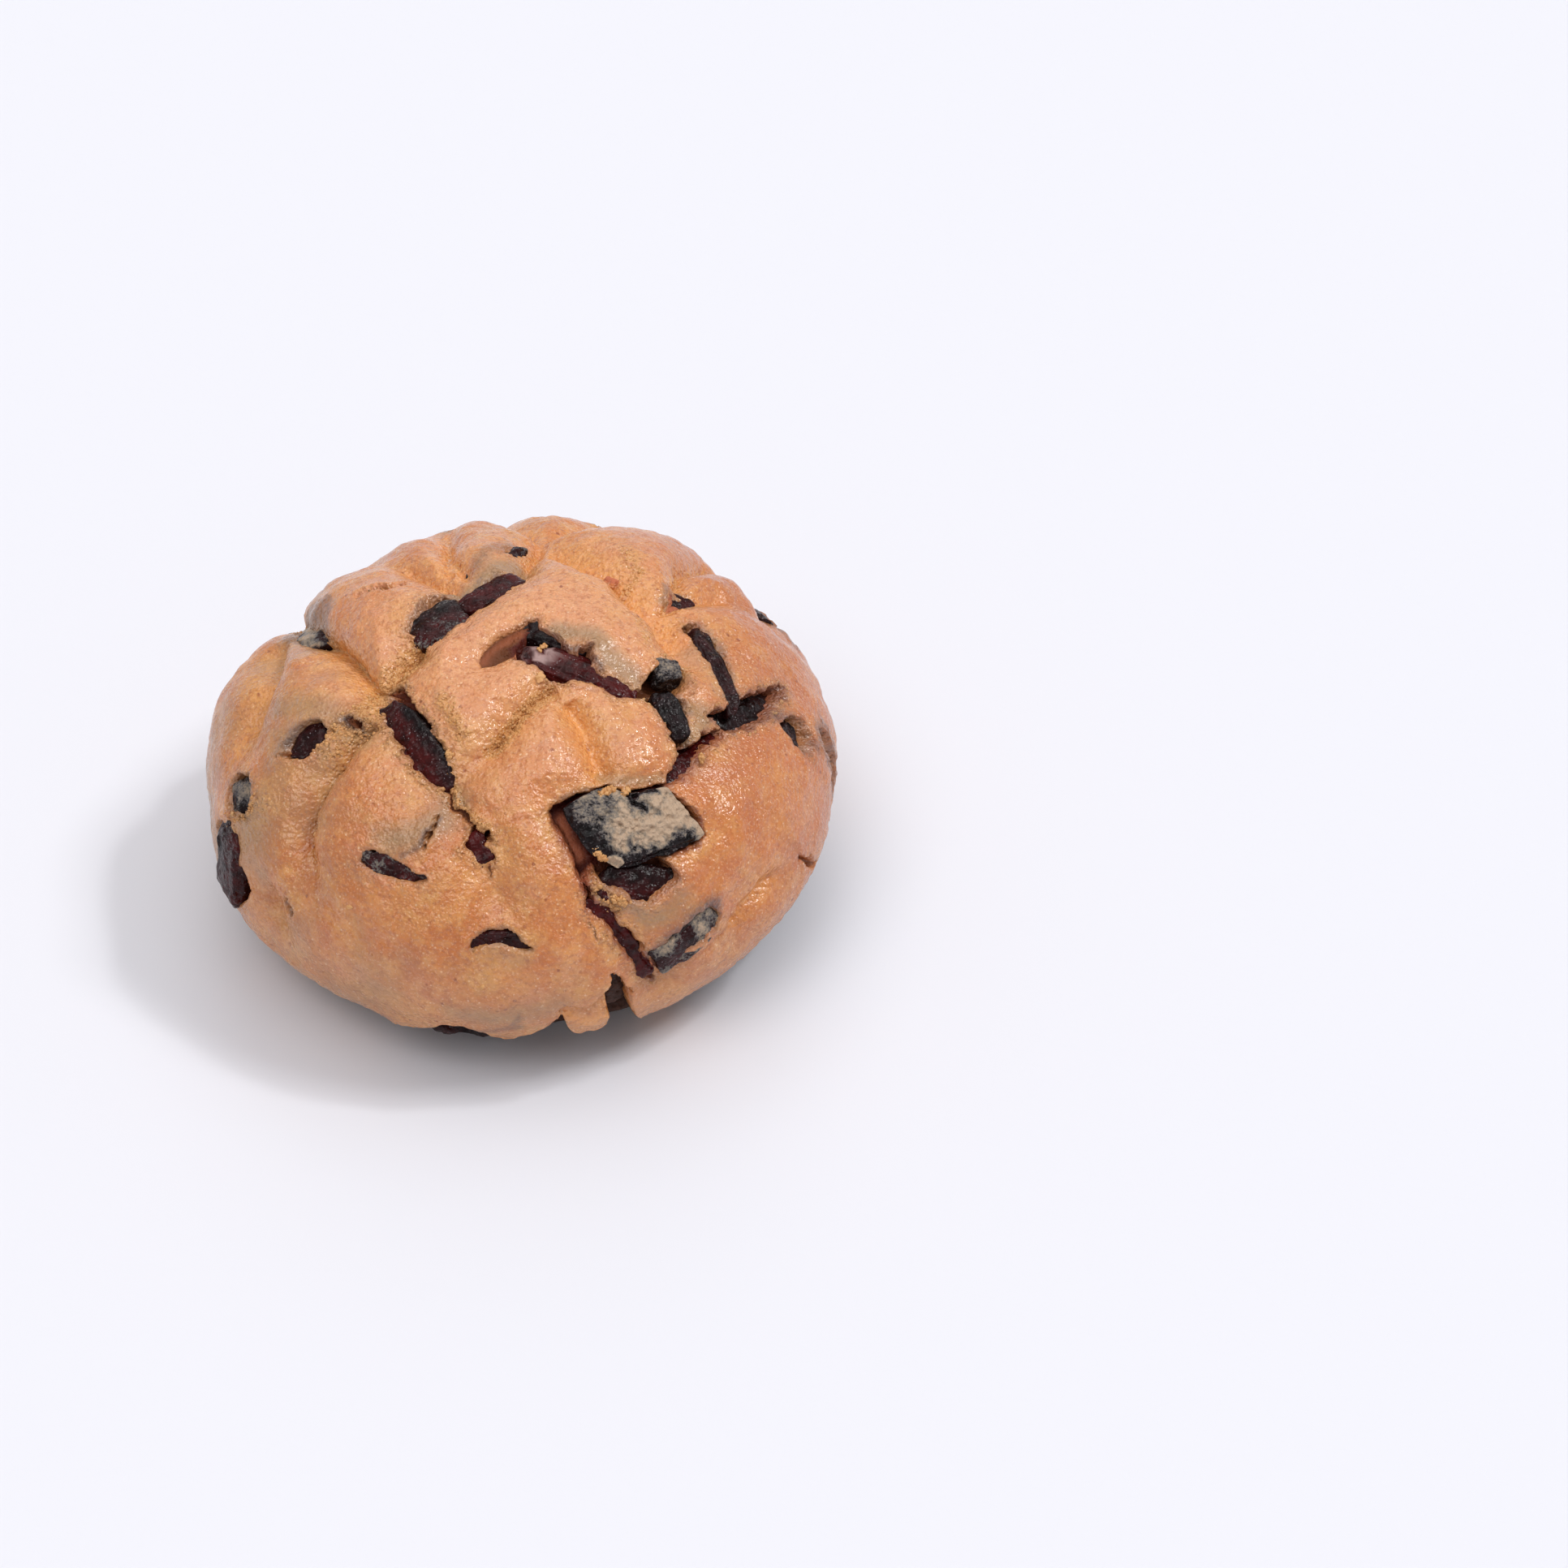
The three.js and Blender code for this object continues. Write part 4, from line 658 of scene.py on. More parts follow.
def crust_points(u):
    az = np.degrees(np.arctan2(u[:, 0], -u[:, 1]))
    lat = np.degrees(np.arcsin(np.clip(u[:, 2], -1, 1)))
    rl = rim_latitude(az)
    low = lat < rl
    outer_u = np.where(low[:, None], direction(az, np.maximum(lat, rl)), u)
    q, total, f = crust_fields(outer_u)
    P = outer_u * (envelope(outer_u) - total)[:, None]
    # rounded lip under the rim
    k = np.clip((rl - lat) / LIP_SPAN, 0, 1)
    beta = k * math.pi
    half = 2.6
    h = np.hypot(P[:, 0], P[:, 1])
    hh = h - half + half * np.cos(beta)
    bumpy = 0.25 * fbm(P, 2.4, 2, 57) * np.sin(beta)
    zz = P[:, 2] - (1.5 + bumpy) * np.sin(beta) + 0.8 * k
    P = np.where(low[:, None], np.stack([P[:, 0] / h * hh, P[:, 1] / h * hh, zz], -1), P)
    # inner skin, hidden against the bread
    deep = (rl - lat) > LIP_SPAN
    t = np.clip((rl - LIP_SPAN - lat) / (rl - LIP_SPAN + 90), 0, 1)
    il = rl + 3 + (90 - rl - 3) * t
    iu = direction(az, np.minimum(il, 89.9))
    I = iu * (envelope(iu) - CRUST_THICK - 2.6)[:, None]
    P = np.where(deep[:, None], I, P)
    f["inner"] = deep
    f["under"] = k
    f["height"] = P[:, 2] + CENTRE_Z
    return P, f


V, T = geodesic(22)


def tri_centre(V, T):
    return unit(V[T].mean(1))


def tri_lat_above(c, margin):
    az = np.degrees(np.arctan2(c[:, 0], -c[:, 1]))
    lat = np.degrees(np.arcsin(c[:, 2]))
    return lat > rim_latitude(az) - margin


V, T = refine(V, T, tri_lat_above(tri_centre(V, T), LIP_SPAN + 4))
V, T = refine(V, T, tri_lat_above(tri_centre(V, T), 8))
# finest where the crust is torn, then along the crumbly creases
c = tri_centre(V, T)
q = on_envelope(c)
want = np.full(len(c), 9.0)
for name, (d, j, cr, fr, out) in LAID_HOLE.items():
    want = np.minimum(want, np.abs(out.distance(q) - 0.3) / 1.3)
for w, d, j, pts in LAID_FINE:
    want = np.minimum(want, path_distance(q, pts, w + 5)[0] / (w + 1.0))
for w, d, power, cr, o, s, pts in LAID_CREASE:
    want = np.minimum(want, 0.35 + path_distance(q, pts, w + 5)[0] / (1.4 * w) - 0.3 * cr)
want = np.minimum(want, path_distance(q, LAID_NOTCH, 6)[0] / 3)
want = np.minimum(want, 0.3 + path_distance(q, LAID_NICK, 6)[0] / 2)
for k in BARE:
    spec = FRUIT[k]
    p, x, y, nn = FRAMES[k]
    f = q - p
    r = ((np.abs(f @ x) / (spec[3] + 0.8)) ** 3 + (np.abs(f @ y) / (spec[4] + 0.8)) ** 3) ** (1 / 3)
    want = np.minimum(want, np.where(np.linalg.norm(f, axis=1) < 14, np.abs(r - 0.85) / 0.25, 9))
c_az, c_lat = np.degrees(np.arctan2(c[:, 0], -c[:, 1])), np.degrees(np.arcsin(c[:, 2]))
want = np.where((np.abs(c_az - 4) < 30) & (np.abs(c_lat - rim_latitude(c_az) + 0.5) < 2.6), np.minimum(want, 0.8), want)
want[~tri_lat_above(c, 4)] = 9
room = int((190000 - len(T)) / 3.25)
limit = np.sort(want)[room]
V, T = refine(V, T, want < min(limit, 1.6))
print("crust triangles", len(T))
P, F = crust_points(V)
P = P + np.array([0, 0, CENTRE_Z]) + SHIFT
N = vertex_normals(P, T)
crust = make_mesh("crust_skin", P, T, {k: F[k] for k in PAINTS + ("hole", "juice", "rough", "under", "notch", "sag")} | {"height": F["height"] / 56.5})


# ------------------------------------------------------------------ bread
def bread_points(u):
    az = np.degrees(np.arctan2(u[:, 0], -u[:, 1]))
    c = np.hypot(u[:, 0], u[:, 1])
    r = envelope(u) - CRUST_THICK - 0.1
    low = lobes(u) * (1 + BREAD_SWELL * hump(az, 66, 24, 2)) * oval(c, u[:, 2], BREAD_RADIUS, np.where(u[:, 2] < 0, BREAD_DROP, HEIGHT), BREAD_POWER)
    z = CENTRE_Z + low * u[:, 2]
    rim = rim_height(az)
    w = (1 - smooth(rim - 2.6, rim + 0.6, z)) * (u[:, 2] < 0)
    # it fills the bottom of the notch in the crust
    swell = np.exp(-(path_distance(on_envelope(u), LAID_NOTCH, 6)[0] / 2.9) ** 4)
    r = r + (envelope(u) - 3.0 - r) * swell
    r = r + (low - r) * w
    q = u * r[:, None]
    skin = 0.35 * fbm(q, 7, 2, 61) + 0.18 * fbm(q, 2.2, 2, 63)
    pits = np.clip(noise(q, 1.4, 65) - 0.30, 0, 1)
    r = r + skin - 0.9 * pits
    # the underside is baked flat, with its edge rounded
    flat = np.where(u[:, 2] < -1e-6, CENTRE_Z / np.maximum(-u[:, 2], 1e-6), 1e9)
    k = r - flat
    on = smooth(-1.2, 0.6, k)
    rr = np.where(k > 0, flat, r) - 0.25 * np.exp(-(k / 1.6) ** 2)
    rr = rr - np.where(k > 0.4, np.clip(noise(q * [1, 1, 0], 1.6, 67) - 0.3, 0, 1) * 0.25, 0)
    return u * rr[:, None], dict(base=on, pits=pits)


VB, TB = geodesic(34)
cb = tri_centre(VB, TB)
VB, TB = refine(VB, TB, cb[:, 2] < 0.05)
VB, TB = refine(VB, TB, path_distance(on_envelope(tri_centre(VB, TB)), LAID_NOTCH, 8)[0] < 5)
PB, FB = bread_points(VB)
PB = PB + np.array([0, 0, CENTRE_Z]) + SHIFT
PB[:, 2] = np.maximum(PB[:, 2], 0.02)
bread = make_mesh("bread_crumb", PB, TB, dict(base=FB["base"], pits=FB["pits"]))
print("bread triangles", len(TB))


# ------------------------------------------------------------------ fruit pieces
# how each piece differs over its face: share of red at its left and right side, dust of crumb, lift of its top (mm)
LOOK = {
    "left_crack": (0.0, 1.0, 0.12, 0.9, 0.8, 0.7), "left_hole": (1.0, 1.0, 0.0, 0.6, 0.3, 0.2), "crown_black": (0.10, 0.75, 0.24, 0.3, 0.5, 0.2), "crown_red": (0.9, 0.6, 0.06, 0.6, 0.0, 0.2),
    "centre_red": (1.0, 0.9, 0.05, 0.9, 0.0, 0.2), "centre_black": (0.0, 0.1, 0.08, 0.1, 0.2, 0.7), "pit_grey": (0.0, 0.0, 0.95, 0.5, 0.0, 0.5), "pit_black": (0.0, 0.05, 0.12, 0.6, 0.0, 0.35),
    "right_red": (1.0, 1.0, 0.0, 0.6, -0.4, 0.1), "right_dark": (0.1, 0.1, 0.0, 0.0, 0.0, 0.2), "right_long": (0.3, 0.3, 0.12, 0.6, 0.0, 0.1), "purple_hole": (0.15, 0.75, 0.10, 1.2, -0.6, 0.7),
    "front_red": (1.0, 1.0, 0.0, 0.7, 0.3, 0.2), "skin_band": (0.35, 0.45, 0.40, 1.05, 0.0, 0.4), "eye": (0.55, 0.9, 0.26, 0.7, 0.7, 0.2), "low_slit": (0.5, 0.5, 0.08, 0.5, 0.0, 0.2),
    "west": (0.35, 0.35, 0.1, -1.1, 0.0, 0.2), "west_grey": (0.1, 0.1, 0.35, -0.3, 0.0, 0.2), "west_rim": (0.7, 0.3, 0.15, 0.2, 0.0, 0.1), "east_slit": (0.1, 0.1, 0.0, -1.5, 0.0, 0.1),
    "east_rim": (0.2, 0.1, 0.15, -0.9, 0.0, 0.2), "rim_low": (0.3, 0.5, 0.1, 0.0, 0.0, 0.2), "high_left": (0.3, 0.3, 0.60, -0.7, 0.0, 0.1), "high_grey": (0.3, 0.3, 0.4, 0.2, 0.0, 0.1), "high_right": (0.6, 0.6, 0.1, 0.3, 0.0, 0.1),
    "back_slab": (0.3, 0.1, 0.2, -0.4, 0.0, 0.2), "back_low": (0.5, 0.3, 0.2, -0.4, 0.0, 0.2), "back_side": (0.2, 0.4, 0.2, -0.6, 0.0, 0.2), "back_high": (0.2, 0.1, 0.3, -0.5, 0.0, 0.2),
}


def knobs(L, cell, seed):
    """rounded knobs about `cell` mm apart: height 0 to 1"""
    q = L / cell
    i = np.floor(q).astype(np.int64)
    best = np.full(len(L), 9.0)
    for dx in (-1, 0, 1):
        for dy in (-1, 0, 1):
            for dz in (-1, 0, 1):
                c = i + [dx, dy, dz]
                jit = np.stack([_corner(c[:, 0], c[:, 1], c[:, 2], seed + k) for k in (1, 2, 3)], -1)
                best = np.minimum(best, np.linalg.norm(q - c - 0.5 - 0.38 * jit, axis=1))
    return 1 - np.clip(best, 0, 1) ** 2


def wrinkles(L, seed, knobby=0.0):
    ridges = 1 - np.abs(fbm(L * [0.6, 1.3, 1.0], 2.3, 3, 77 + seed)) * 2.4
    folds = 1 - np.abs(fbm(L * [0.8, 1.2, 1.0], 1.2, 2, 79 + seed)) * 2.6
    return 0.30 * fbm(L, 3.6, 2, 71 + seed) + 0.34 * (ridges - 0.5) + 0.12 * (folds - 0.5) + 0.05 * noise(L, 0.7, 75 + seed) + knobby * (knobs(L, 1.5, seed) - 0.6)


def fruit_mesh(name):
    spec = FRUIT[name]
    a, b, c, sink = spec[3:7]
    seed = SEEDS[name]
    left, right, dust, lift, tilt, knobby = LOOK.get(name, (spec[10], spec[10], 0.2, 0.0, 0.0, 0.1))
    p, x, y, n = FRAMES[name]
    q, t = FRUIT_DIRS
    boxy = np.sign(q) * np.abs(q) ** 0.55
    k = 1 + 0.07 * np.sin(3 * q[:, 0] + 2 * q[:, 1] + seed) + 0.05 * np.sin(4 * q[:, 1] - 3 * q[:, 2] + 2 * seed)
    X, Y = boxy[:, 0] * a * k, boxy[:, 1] * b * k
    Z = boxy[:, 2] * c * k - (X * X + Y * Y) / 130
    X = X + 0.22 * math.sin(seed) * Y
    L = np.stack([X, Y, Z], -1)
    L = L + q * (wrinkles(L, seed, knobby) - 0.12)[:, None]
    L[:, 2] += tilt * np.clip(Y / b, -1, 1)
    W = p + L[:, :1] * x + L[:, 1:2] * y + (L[:, 2:3] - sink + lift - c) * n
    W = W + np.array([0, 0, CENTRE_Z]) + SHIFT
    mixed = smooth(-0.5, 0.5, (0.35 if name == "left_crack" else 0.0) - Y / b + 0.5 * fbm(L, 3.0, 2, 81 + seed))
    red = left + (right - left) * mixed
    up = smooth(-0.2, 0.7, boxy[:, 2])
    dusty = np.clip(dust * (1 + 1.6 * fbm(L, 2.2, 3, 85 + seed)), 0, 1) * up
    if name == "pit_grey":
        dusty = np.clip(0.40 + 0.22 * fbm(L, 2.2, 2, 85), 0, 1) * np.maximum(up, 0.75)
    pale_pink_patch = np.zeros(len(W))
    # a pale pinkish patch on the upper face of centre_red, towards one end
    if name == "centre_red":
        pale_pink_patch = np.exp(-((X + 6.4) / 2.3) ** 2) * up * smooth(-0.15, 0.45, noise(L, 1.1, 87))
    if name == "centre_red":
        W = W + 1.0 * y + (L[:, :1] * 0.12 - 0.9) * x
    if name == "centre_black":
        W = W - 1.5 * x + 1.9 * y
    if name == "right_dark":
        W = W + 2.0 * x + 0.9 * y
    if name == "pit_black":
        W = W - 0.6 * x
    if name == "rim_low":
        W = W - 1.6 * x + np.array([0, 0, 1.9])
    return make_mesh("fruit_piece_" + name, W, t, dict(red=red, dust=dusty, pale_pink_patch=pale_pink_patch))


def block_mesh(name):
    """the big lozenge: a slab with upright wrinkled sides and a skin of crumb on its face"""
    spec = FRUIT[name]
    sink = spec[6]
    p, x, y, n = FRAMES[name]
    ring = Outline(BLOCK)
    lower = [lay_path(e) for e in BLOCK_LOWER]
    c2 = ring.c
    corner = np.array([on_envelope(direction(a, l)) for a, l in BLOCK])
    X0, Y0 = (corner - p) @ x, (corner - p) @ y
    ang = np.arctan2(Y0, X0)
    rad = np.hypot(X0, Y0)
    o = np.argsort(ang)
    NT, NR, NS = 220, 44, 12
    th = np.linspace(-math.pi, math.pi, NT, endpoint=False)
    R = np.interp(th, np.concatenate([ang[o] - 2 * math.pi, ang[o], ang[o] + 2 * math.pi]), np.tile(rad[o], 3))
    R = R + 0.30 + 1.05 * smooth(0.05, 0.9, np.cos(th)) * smooth(-0.9, -0.2, np.sin(th)) + 0.25 * smooth(0.0, 0.8, -np.sin(th))
    rows = []
    for i in range(1, NR + 1):
        rows.append((R * i / NR, np.zeros(NT), np.full(NT, i / NR)))
    for i in range(1, NS + 1):
        rows.append((R * (1 - 0.10 * (i / NS) ** 2), np.full(NT, -4.2 * i / NS), np.full(NT, 1.0)))
    rr = np.concatenate([[0]] + [r[0] for r in rows])
    dz = np.concatenate([[0]] + [r[1] for r in rows])
    tt = np.concatenate([[0]] + [th] * len(rows))
    side = np.concatenate([[0]] + [np.full(NT, i >= NR) for i in range(len(rows))]).astype(float)
    X, Y = rr * np.cos(tt), rr * np.sin(tt)
    q0 = p + X[:, None] * x + Y[:, None] * y
    uu = unit(q0)
    q = on_envelope(uu)
    L = np.stack([X, Y, dz], -1)
    inner = -ring.distance(q)
    rim = np.clip(inner, 0, 9)
    low = np.minimum(*[path_distance(q, e, 12)[0] for e in lower])
    low2 = path_distance(q, lower[1], 12)[0]
    wob = fbm(L, 2.4, 3, 91)
    low1 = path_distance(q, lower[0], 14)[0]
    crumb = smooth(0.4, 3.8, low1 + 1.6 * wob) * smooth(-0.2, 3.2, low2 + 1.4 * wob) * (1 - 0.38 * smooth(-1.0, -6.0, X + 2 * wob)) * (side < 0.5)
    lump = np.exp(-(np.hypot(X - (X0[19] + X0[20]) / 2, Y - (Y0[19] + Y0[20]) / 2) / 1.6) ** 2)
    crumb = np.clip(np.maximum(crumb, smooth(0.35, 0.6, lump + 0.3 * wob) * (side < 0.5)), 0, 1)
    crumb = np.clip(0.80 * crumb * (1 + 0.40 * smooth(1.0, 5.0, X)) * (1 + 0.55 * fbm(L, 3.0, 3, 95) + 0.25 * noise(L, 0.8, 92)), 0, 1)
    fold = np.minimum(path_distance(q + 0.3 * np.stack([wob] * 3, -1), lay_path([(25.0, 33.6), (25.4, 31.2), (27.4, 29.8)]), 4)[0], path_distance(q + 0.3 * np.stack([wob] * 3, -1), lay_path([(26.0, 32.2), (28.6, 32.8), (31.5, 31.6)]), 4)[0])
    top = -0.75 * np.exp(-(rim / 0.7) ** 1.5) + 0.42 * crumb * (1 + 0.8 * noise(L, 0.9, 97) + 0.5 * noise(L, 0.5, 98)) + 0.26 * fbm(L, 3.6, 2, 93) + 0.20 * noise(L, 0.8, 96) + 0.10 * noise(L, 0.45, 94) - 0.55 * np.exp(-(fold / 0.26) ** 2)
    depth = -sink + 0.35 + top * (side < 0.5) + (dz - 0.75) * (side > 0.5)
    Wd = q + uu * depth[:, None]
    flat = p + X[:, None] * x + Y[:, None] * y
    wr = 0.16 * fbm(L, 1.2, 2, 99) * side
    Wd = Wd + (np.cos(tt) * wr)[:, None] * x + (np.sin(tt) * wr)[:, None] * y
    last = 1 + (len(rows) - 1) * NT
    centre_low = Wd[last:].mean(0)
    Wd = np.concatenate([Wd, [centre_low]])
    tris = []
    i = np.arange(NT)
    j = (i + 1) % NT
    tris.append(np.stack([np.zeros(NT, int), 1 + i, 1 + j], 1))
    for k in range(len(rows) - 1):
        a0, b0 = 1 + k * NT, 1 + (k + 1) * NT
        tris.append(np.stack([a0 + i, b0 + i, b0 + j], 1))
        tris.append(np.stack([a0 + i, b0 + j, a0 + j], 1))
    tris.append(np.stack([np.full(NT, len(Wd) - 1), last + j, last + i], 1))
    grow = lambda v: np.concatenate([v, [0.0]])
    Wd = Wd + np.array([0, 0, CENTRE_Z]) + SHIFT
    red = 0.95 * side * smooth(0.1, 0.7, -dz / 2)
    return make_mesh("fruit_piece_" + name, Wd, np.concatenate(tris), dict(red=grow(red), dust=grow(crumb * (1 - np.exp(-(fold / 0.5) ** 2))), pale_pink_patch=grow(0 * rr)))


FRUIT_DIRS = geodesic(16)
fruit_objects = {k: (block_mesh(k) if k == "diamond" else fruit_mesh(k)) for k in FRUIT}

# ------------------------------------------------------------------ crumbs along the torn edges
rng = np.random.default_rng(7)
open_skin = (F["under"] < 0.02) & ~F["inner"]
weight = np.clip(F["crumb"] * 0.9 + F["lip"] * 0.55 - 0.28, 0, 1) ** 1.5 * open_skin * (F["hole"] < 0.35)
pick = rng.choice(len(P), 4200, p=weight / weight.sum())
ball_v, ball_t = geodesic(1)
CV, CT, CC, CI = [], [], [], []
for i, vi in enumerate(pick):
    size = 0.12 + 0.28 * rng.random() ** 2.6
    s = size * (0.7 + 0.6 * rng.random(3))
    R = np.linalg.qr(rng.normal(size=(3, 3)))[0]
    lump = ball_v * (1 + 0.22 * rng.normal(size=(len(ball_v), 1)))
    CV.append((lump * s) @ R.T + P[vi] - N[vi] * size * (0.15 + 0.35 * rng.random()))
    CT.append(ball_t + i * len(ball_v))
    CC.append(np.full(len(ball_v), F["juice"][vi]))
    CI.append(np.full(len(ball_v), F["ink"][vi]))
# clumps of crumb that lie loose, each of many small grains: azimuth, latitude, height over the surface, half sizes, turn, grains
CLUMPS = [(14.4, 24.3, 0.10, 1.5, 0.75, 125, 46), (20.2, 34.7, 0.15, 1.6, 0.6, 10, 44), (24.5, 33.6, 0.10, 1.0, 0.5, 20, 18), (16.4, 15.6, 0.10, 1.5, 0.6, -25, 34), (29.5, 75.6, -0.9, 0.8, 0.5, 30, 12), (47.5, 31.5, 0.0, 0.8, 0.4, 40, 14), (-24.0, 44.5, 0.0, 0.7, 0.4, -60, 12)]
FLAKES = [(14.1, 66.0, 0.10, 1.05, 0.70, 60), (-35, 12, 0.05, 0.45, 0.35, 0), (-9.5, 3, 0.05, 0.45, 0.3, 50), (40, 66, 0.0, 0.5, 0.35, 20)]
grain_v, grain_t = geodesic(2)
flake_v, flake_t = geodesic(8)
total = len(pick) * len(ball_v)


def tangent_frame(az, lat, turn):
    u = direction(float(az), float(lat))
    e = np.array([math.cos(math.radians(az)), math.sin(math.radians(az)), 0.0])
    no = np.cross(u, e)
    ct, st = math.cos(math.radians(turn)), math.sin(math.radians(turn))
    return u, e * ct + no * st, no * ct - e * st


def lay_loose(points, tris):
    global total
    CV.append(points + np.array([0, 0, CENTRE_Z]) + SHIFT)
    CT.append(tris + total)
    total += len(points)
    CC.append(np.zeros(len(points)))
    CI.append(np.zeros(len(points)))


def rest_on(q, most=1.0):
    """a point of the crust's own surface, or just inside an opening, over each point q"""
    u = unit(q)
    return u * (envelope(u) - np.clip(crust_fields(u)[1], -2.0, most))[:, None]


for az, lat, up_by, a, b, turn, count in CLUMPS:
    u, x, y = tangent_frame(az, lat, turn)
    for _ in range(count):
        r, t = rng.random() ** 0.7, 2 * math.pi * rng.random()
        size = 0.16 + 0.26 * rng.random()
        R = np.linalg.qr(rng.normal(size=(3, 3)))[0]
        lump = grain_v * (1 + 0.24 * rng.normal(size=(len(grain_v), 1))) * size * (0.7 + 0.6 * rng.random(3))
        at = rest_on((on_envelope(u) + a * r * math.cos(t) * x + b * r * math.sin(t) * y)[None])[0]
        lay_loose(lump @ R.T + at + u * (up_by + 0.35 * (1 - r) * rng.random()), grain_t)
for az, lat, up_by, a, b, turn in FLAKES:
    u, x, y = tangent_frame(az, lat, turn)
    k = 1 + 0.5 * fbm(flake_v * [4, 4, 0.5] + 9 * az, 2.4, 2, 111)
    over = unit(on_envelope(u) + flake_v[:, :1] * k[:, None] * a * x + flake_v[:, 1:2] * k[:, None] * b * y)
    under = crust_fields(over)[1]
    under = np.clip(under, np.percentile(under, 15) - 0.2, np.percentile(under, 15) + 0.35)
    flat = over * (envelope(over) - under)[:, None]
    lay_loose(flat + (flake_v[:, 2:3] * 0.14 + up_by) * u, flake_t)
crumbs = make_mesh("crust_crumbs", np.concatenate(CV), np.concatenate(CT), dict(juice=np.concatenate(CC), ink=np.concatenate(CI)))


# ------------------------------------------------------------------ materials
class Nodes:
    def __init__(self, name):
        self.mat = bpy.data.materials.new(name)
        self.mat.use_nodes = True
        self.t = self.mat.node_tree
        self.t.nodes.clear()
        self.out = self.t.nodes.new("ShaderNodeOutputMaterial")
        self.bsdf = self.t.nodes.new("ShaderNodeBsdfPrincipled")
        self.t.links.new(self.bsdf.outputs[0], self.out.inputs[0])
        self.coord = self.t.nodes.new("ShaderNodeTexCoord")

    def link(self, a, b):
        self.t.links.new(a, b)

    def attr(self, name):
        n = self.t.nodes.new("ShaderNodeAttribute")
        n.attribute_name = name
        return n.outputs["Fac"]

    def noise(self, cell, detail=2, rough=0.5, distortion=0.0):
        """noise whose lumps are about `cell` mm"""
        n = self.t.nodes.new("ShaderNodeTexNoise")
        n.inputs["Scale"].default_value = 1000.0 / cell
        n.inputs["Detail"].default_value = detail
        n.inputs["Roughness"].default_value = rough
        n.inputs["Distortion"].default_value = distortion
        self.link(self.coord.outputs["Object"], n.inputs["Vector"])
        return n.outputs["Fac"]

    def cells(self, cell, feature="F1", rand=1.0):
        n = self.t.nodes.new("ShaderNodeTexVoronoi")
        n.feature = feature
        n.inputs["Scale"].default_value = 1000.0 / cell
        n.inputs["Randomness"].default_value = rand
        self.link(self.coord.outputs["Object"], n.inputs["Vector"])
        return n.outputs["Distance"]

    def ramp(self, src, stops):
        n = self.t.nodes.new("ShaderNodeValToRGB")
        e = n.color_ramp.elements
        while len(e) < len(stops):
            e.new(0.5)
        for el, (pos, v) in zip(e, stops):
            el.position = pos
            el.color = (v, v, v, 1) if not isinstance(v, tuple) else (*v, 1)
        self.link(src, n.inputs[0])
        return n.outputs[0]

    def math(self, op, a, b=None, c=None, clamp=False):
        n = self.t.nodes.new("ShaderNodeMath")
        n.operation = op
        n.use_clamp = clamp
        for i, v in enumerate((a, b, c)):
            if v is None:
                continue
            if isinstance(v, (int, float)):
                n.inputs[i].default_value = v
            else:
                self.link(v, n.inputs[i])
        return n.outputs[0]

    def mul(self, a, b):
        return self.math("MULTIPLY", a, b)

    def jitter(self, mask, noise, amount, lo, hi):
        """a mask whose edge is broken up by a noise"""
        return self.ramp(self.math("ADD", mask, self.math("MULTIPLY", self.math("SUBTRACT", noise, 0.5), amount)), [(lo, 0.0), (hi, 1.0)])

    def mix(self, fac, a, b, mode="MIX"):
        n = self.t.nodes.new("ShaderNodeMix")
        n.data_type = "RGBA"
        n.blend_type = mode
        n.clamp_factor = True
        for s, v in ((n.inputs[0], fac), (n.inputs[6], a), (n.inputs[7], b)):
            if isinstance(v, (int, float)):
                s.default_value = v
            elif isinstance(v, tuple):
                s.default_value = (*v, 1)
            else:
                self.link(v, s)
        return n.outputs[2]

    def bump(self, height, distance_mm, strength=1.0, base=None):
        n = self.t.nodes.new("ShaderNodeBump")
        n.inputs["Strength"].default_value = strength
        n.inputs["Distance"].default_value = distance_mm * MM
        self.link(height, n.inputs["Height"])
        if base is not None:
            self.link(base, n.inputs["Normal"])
        return n.outputs[0]


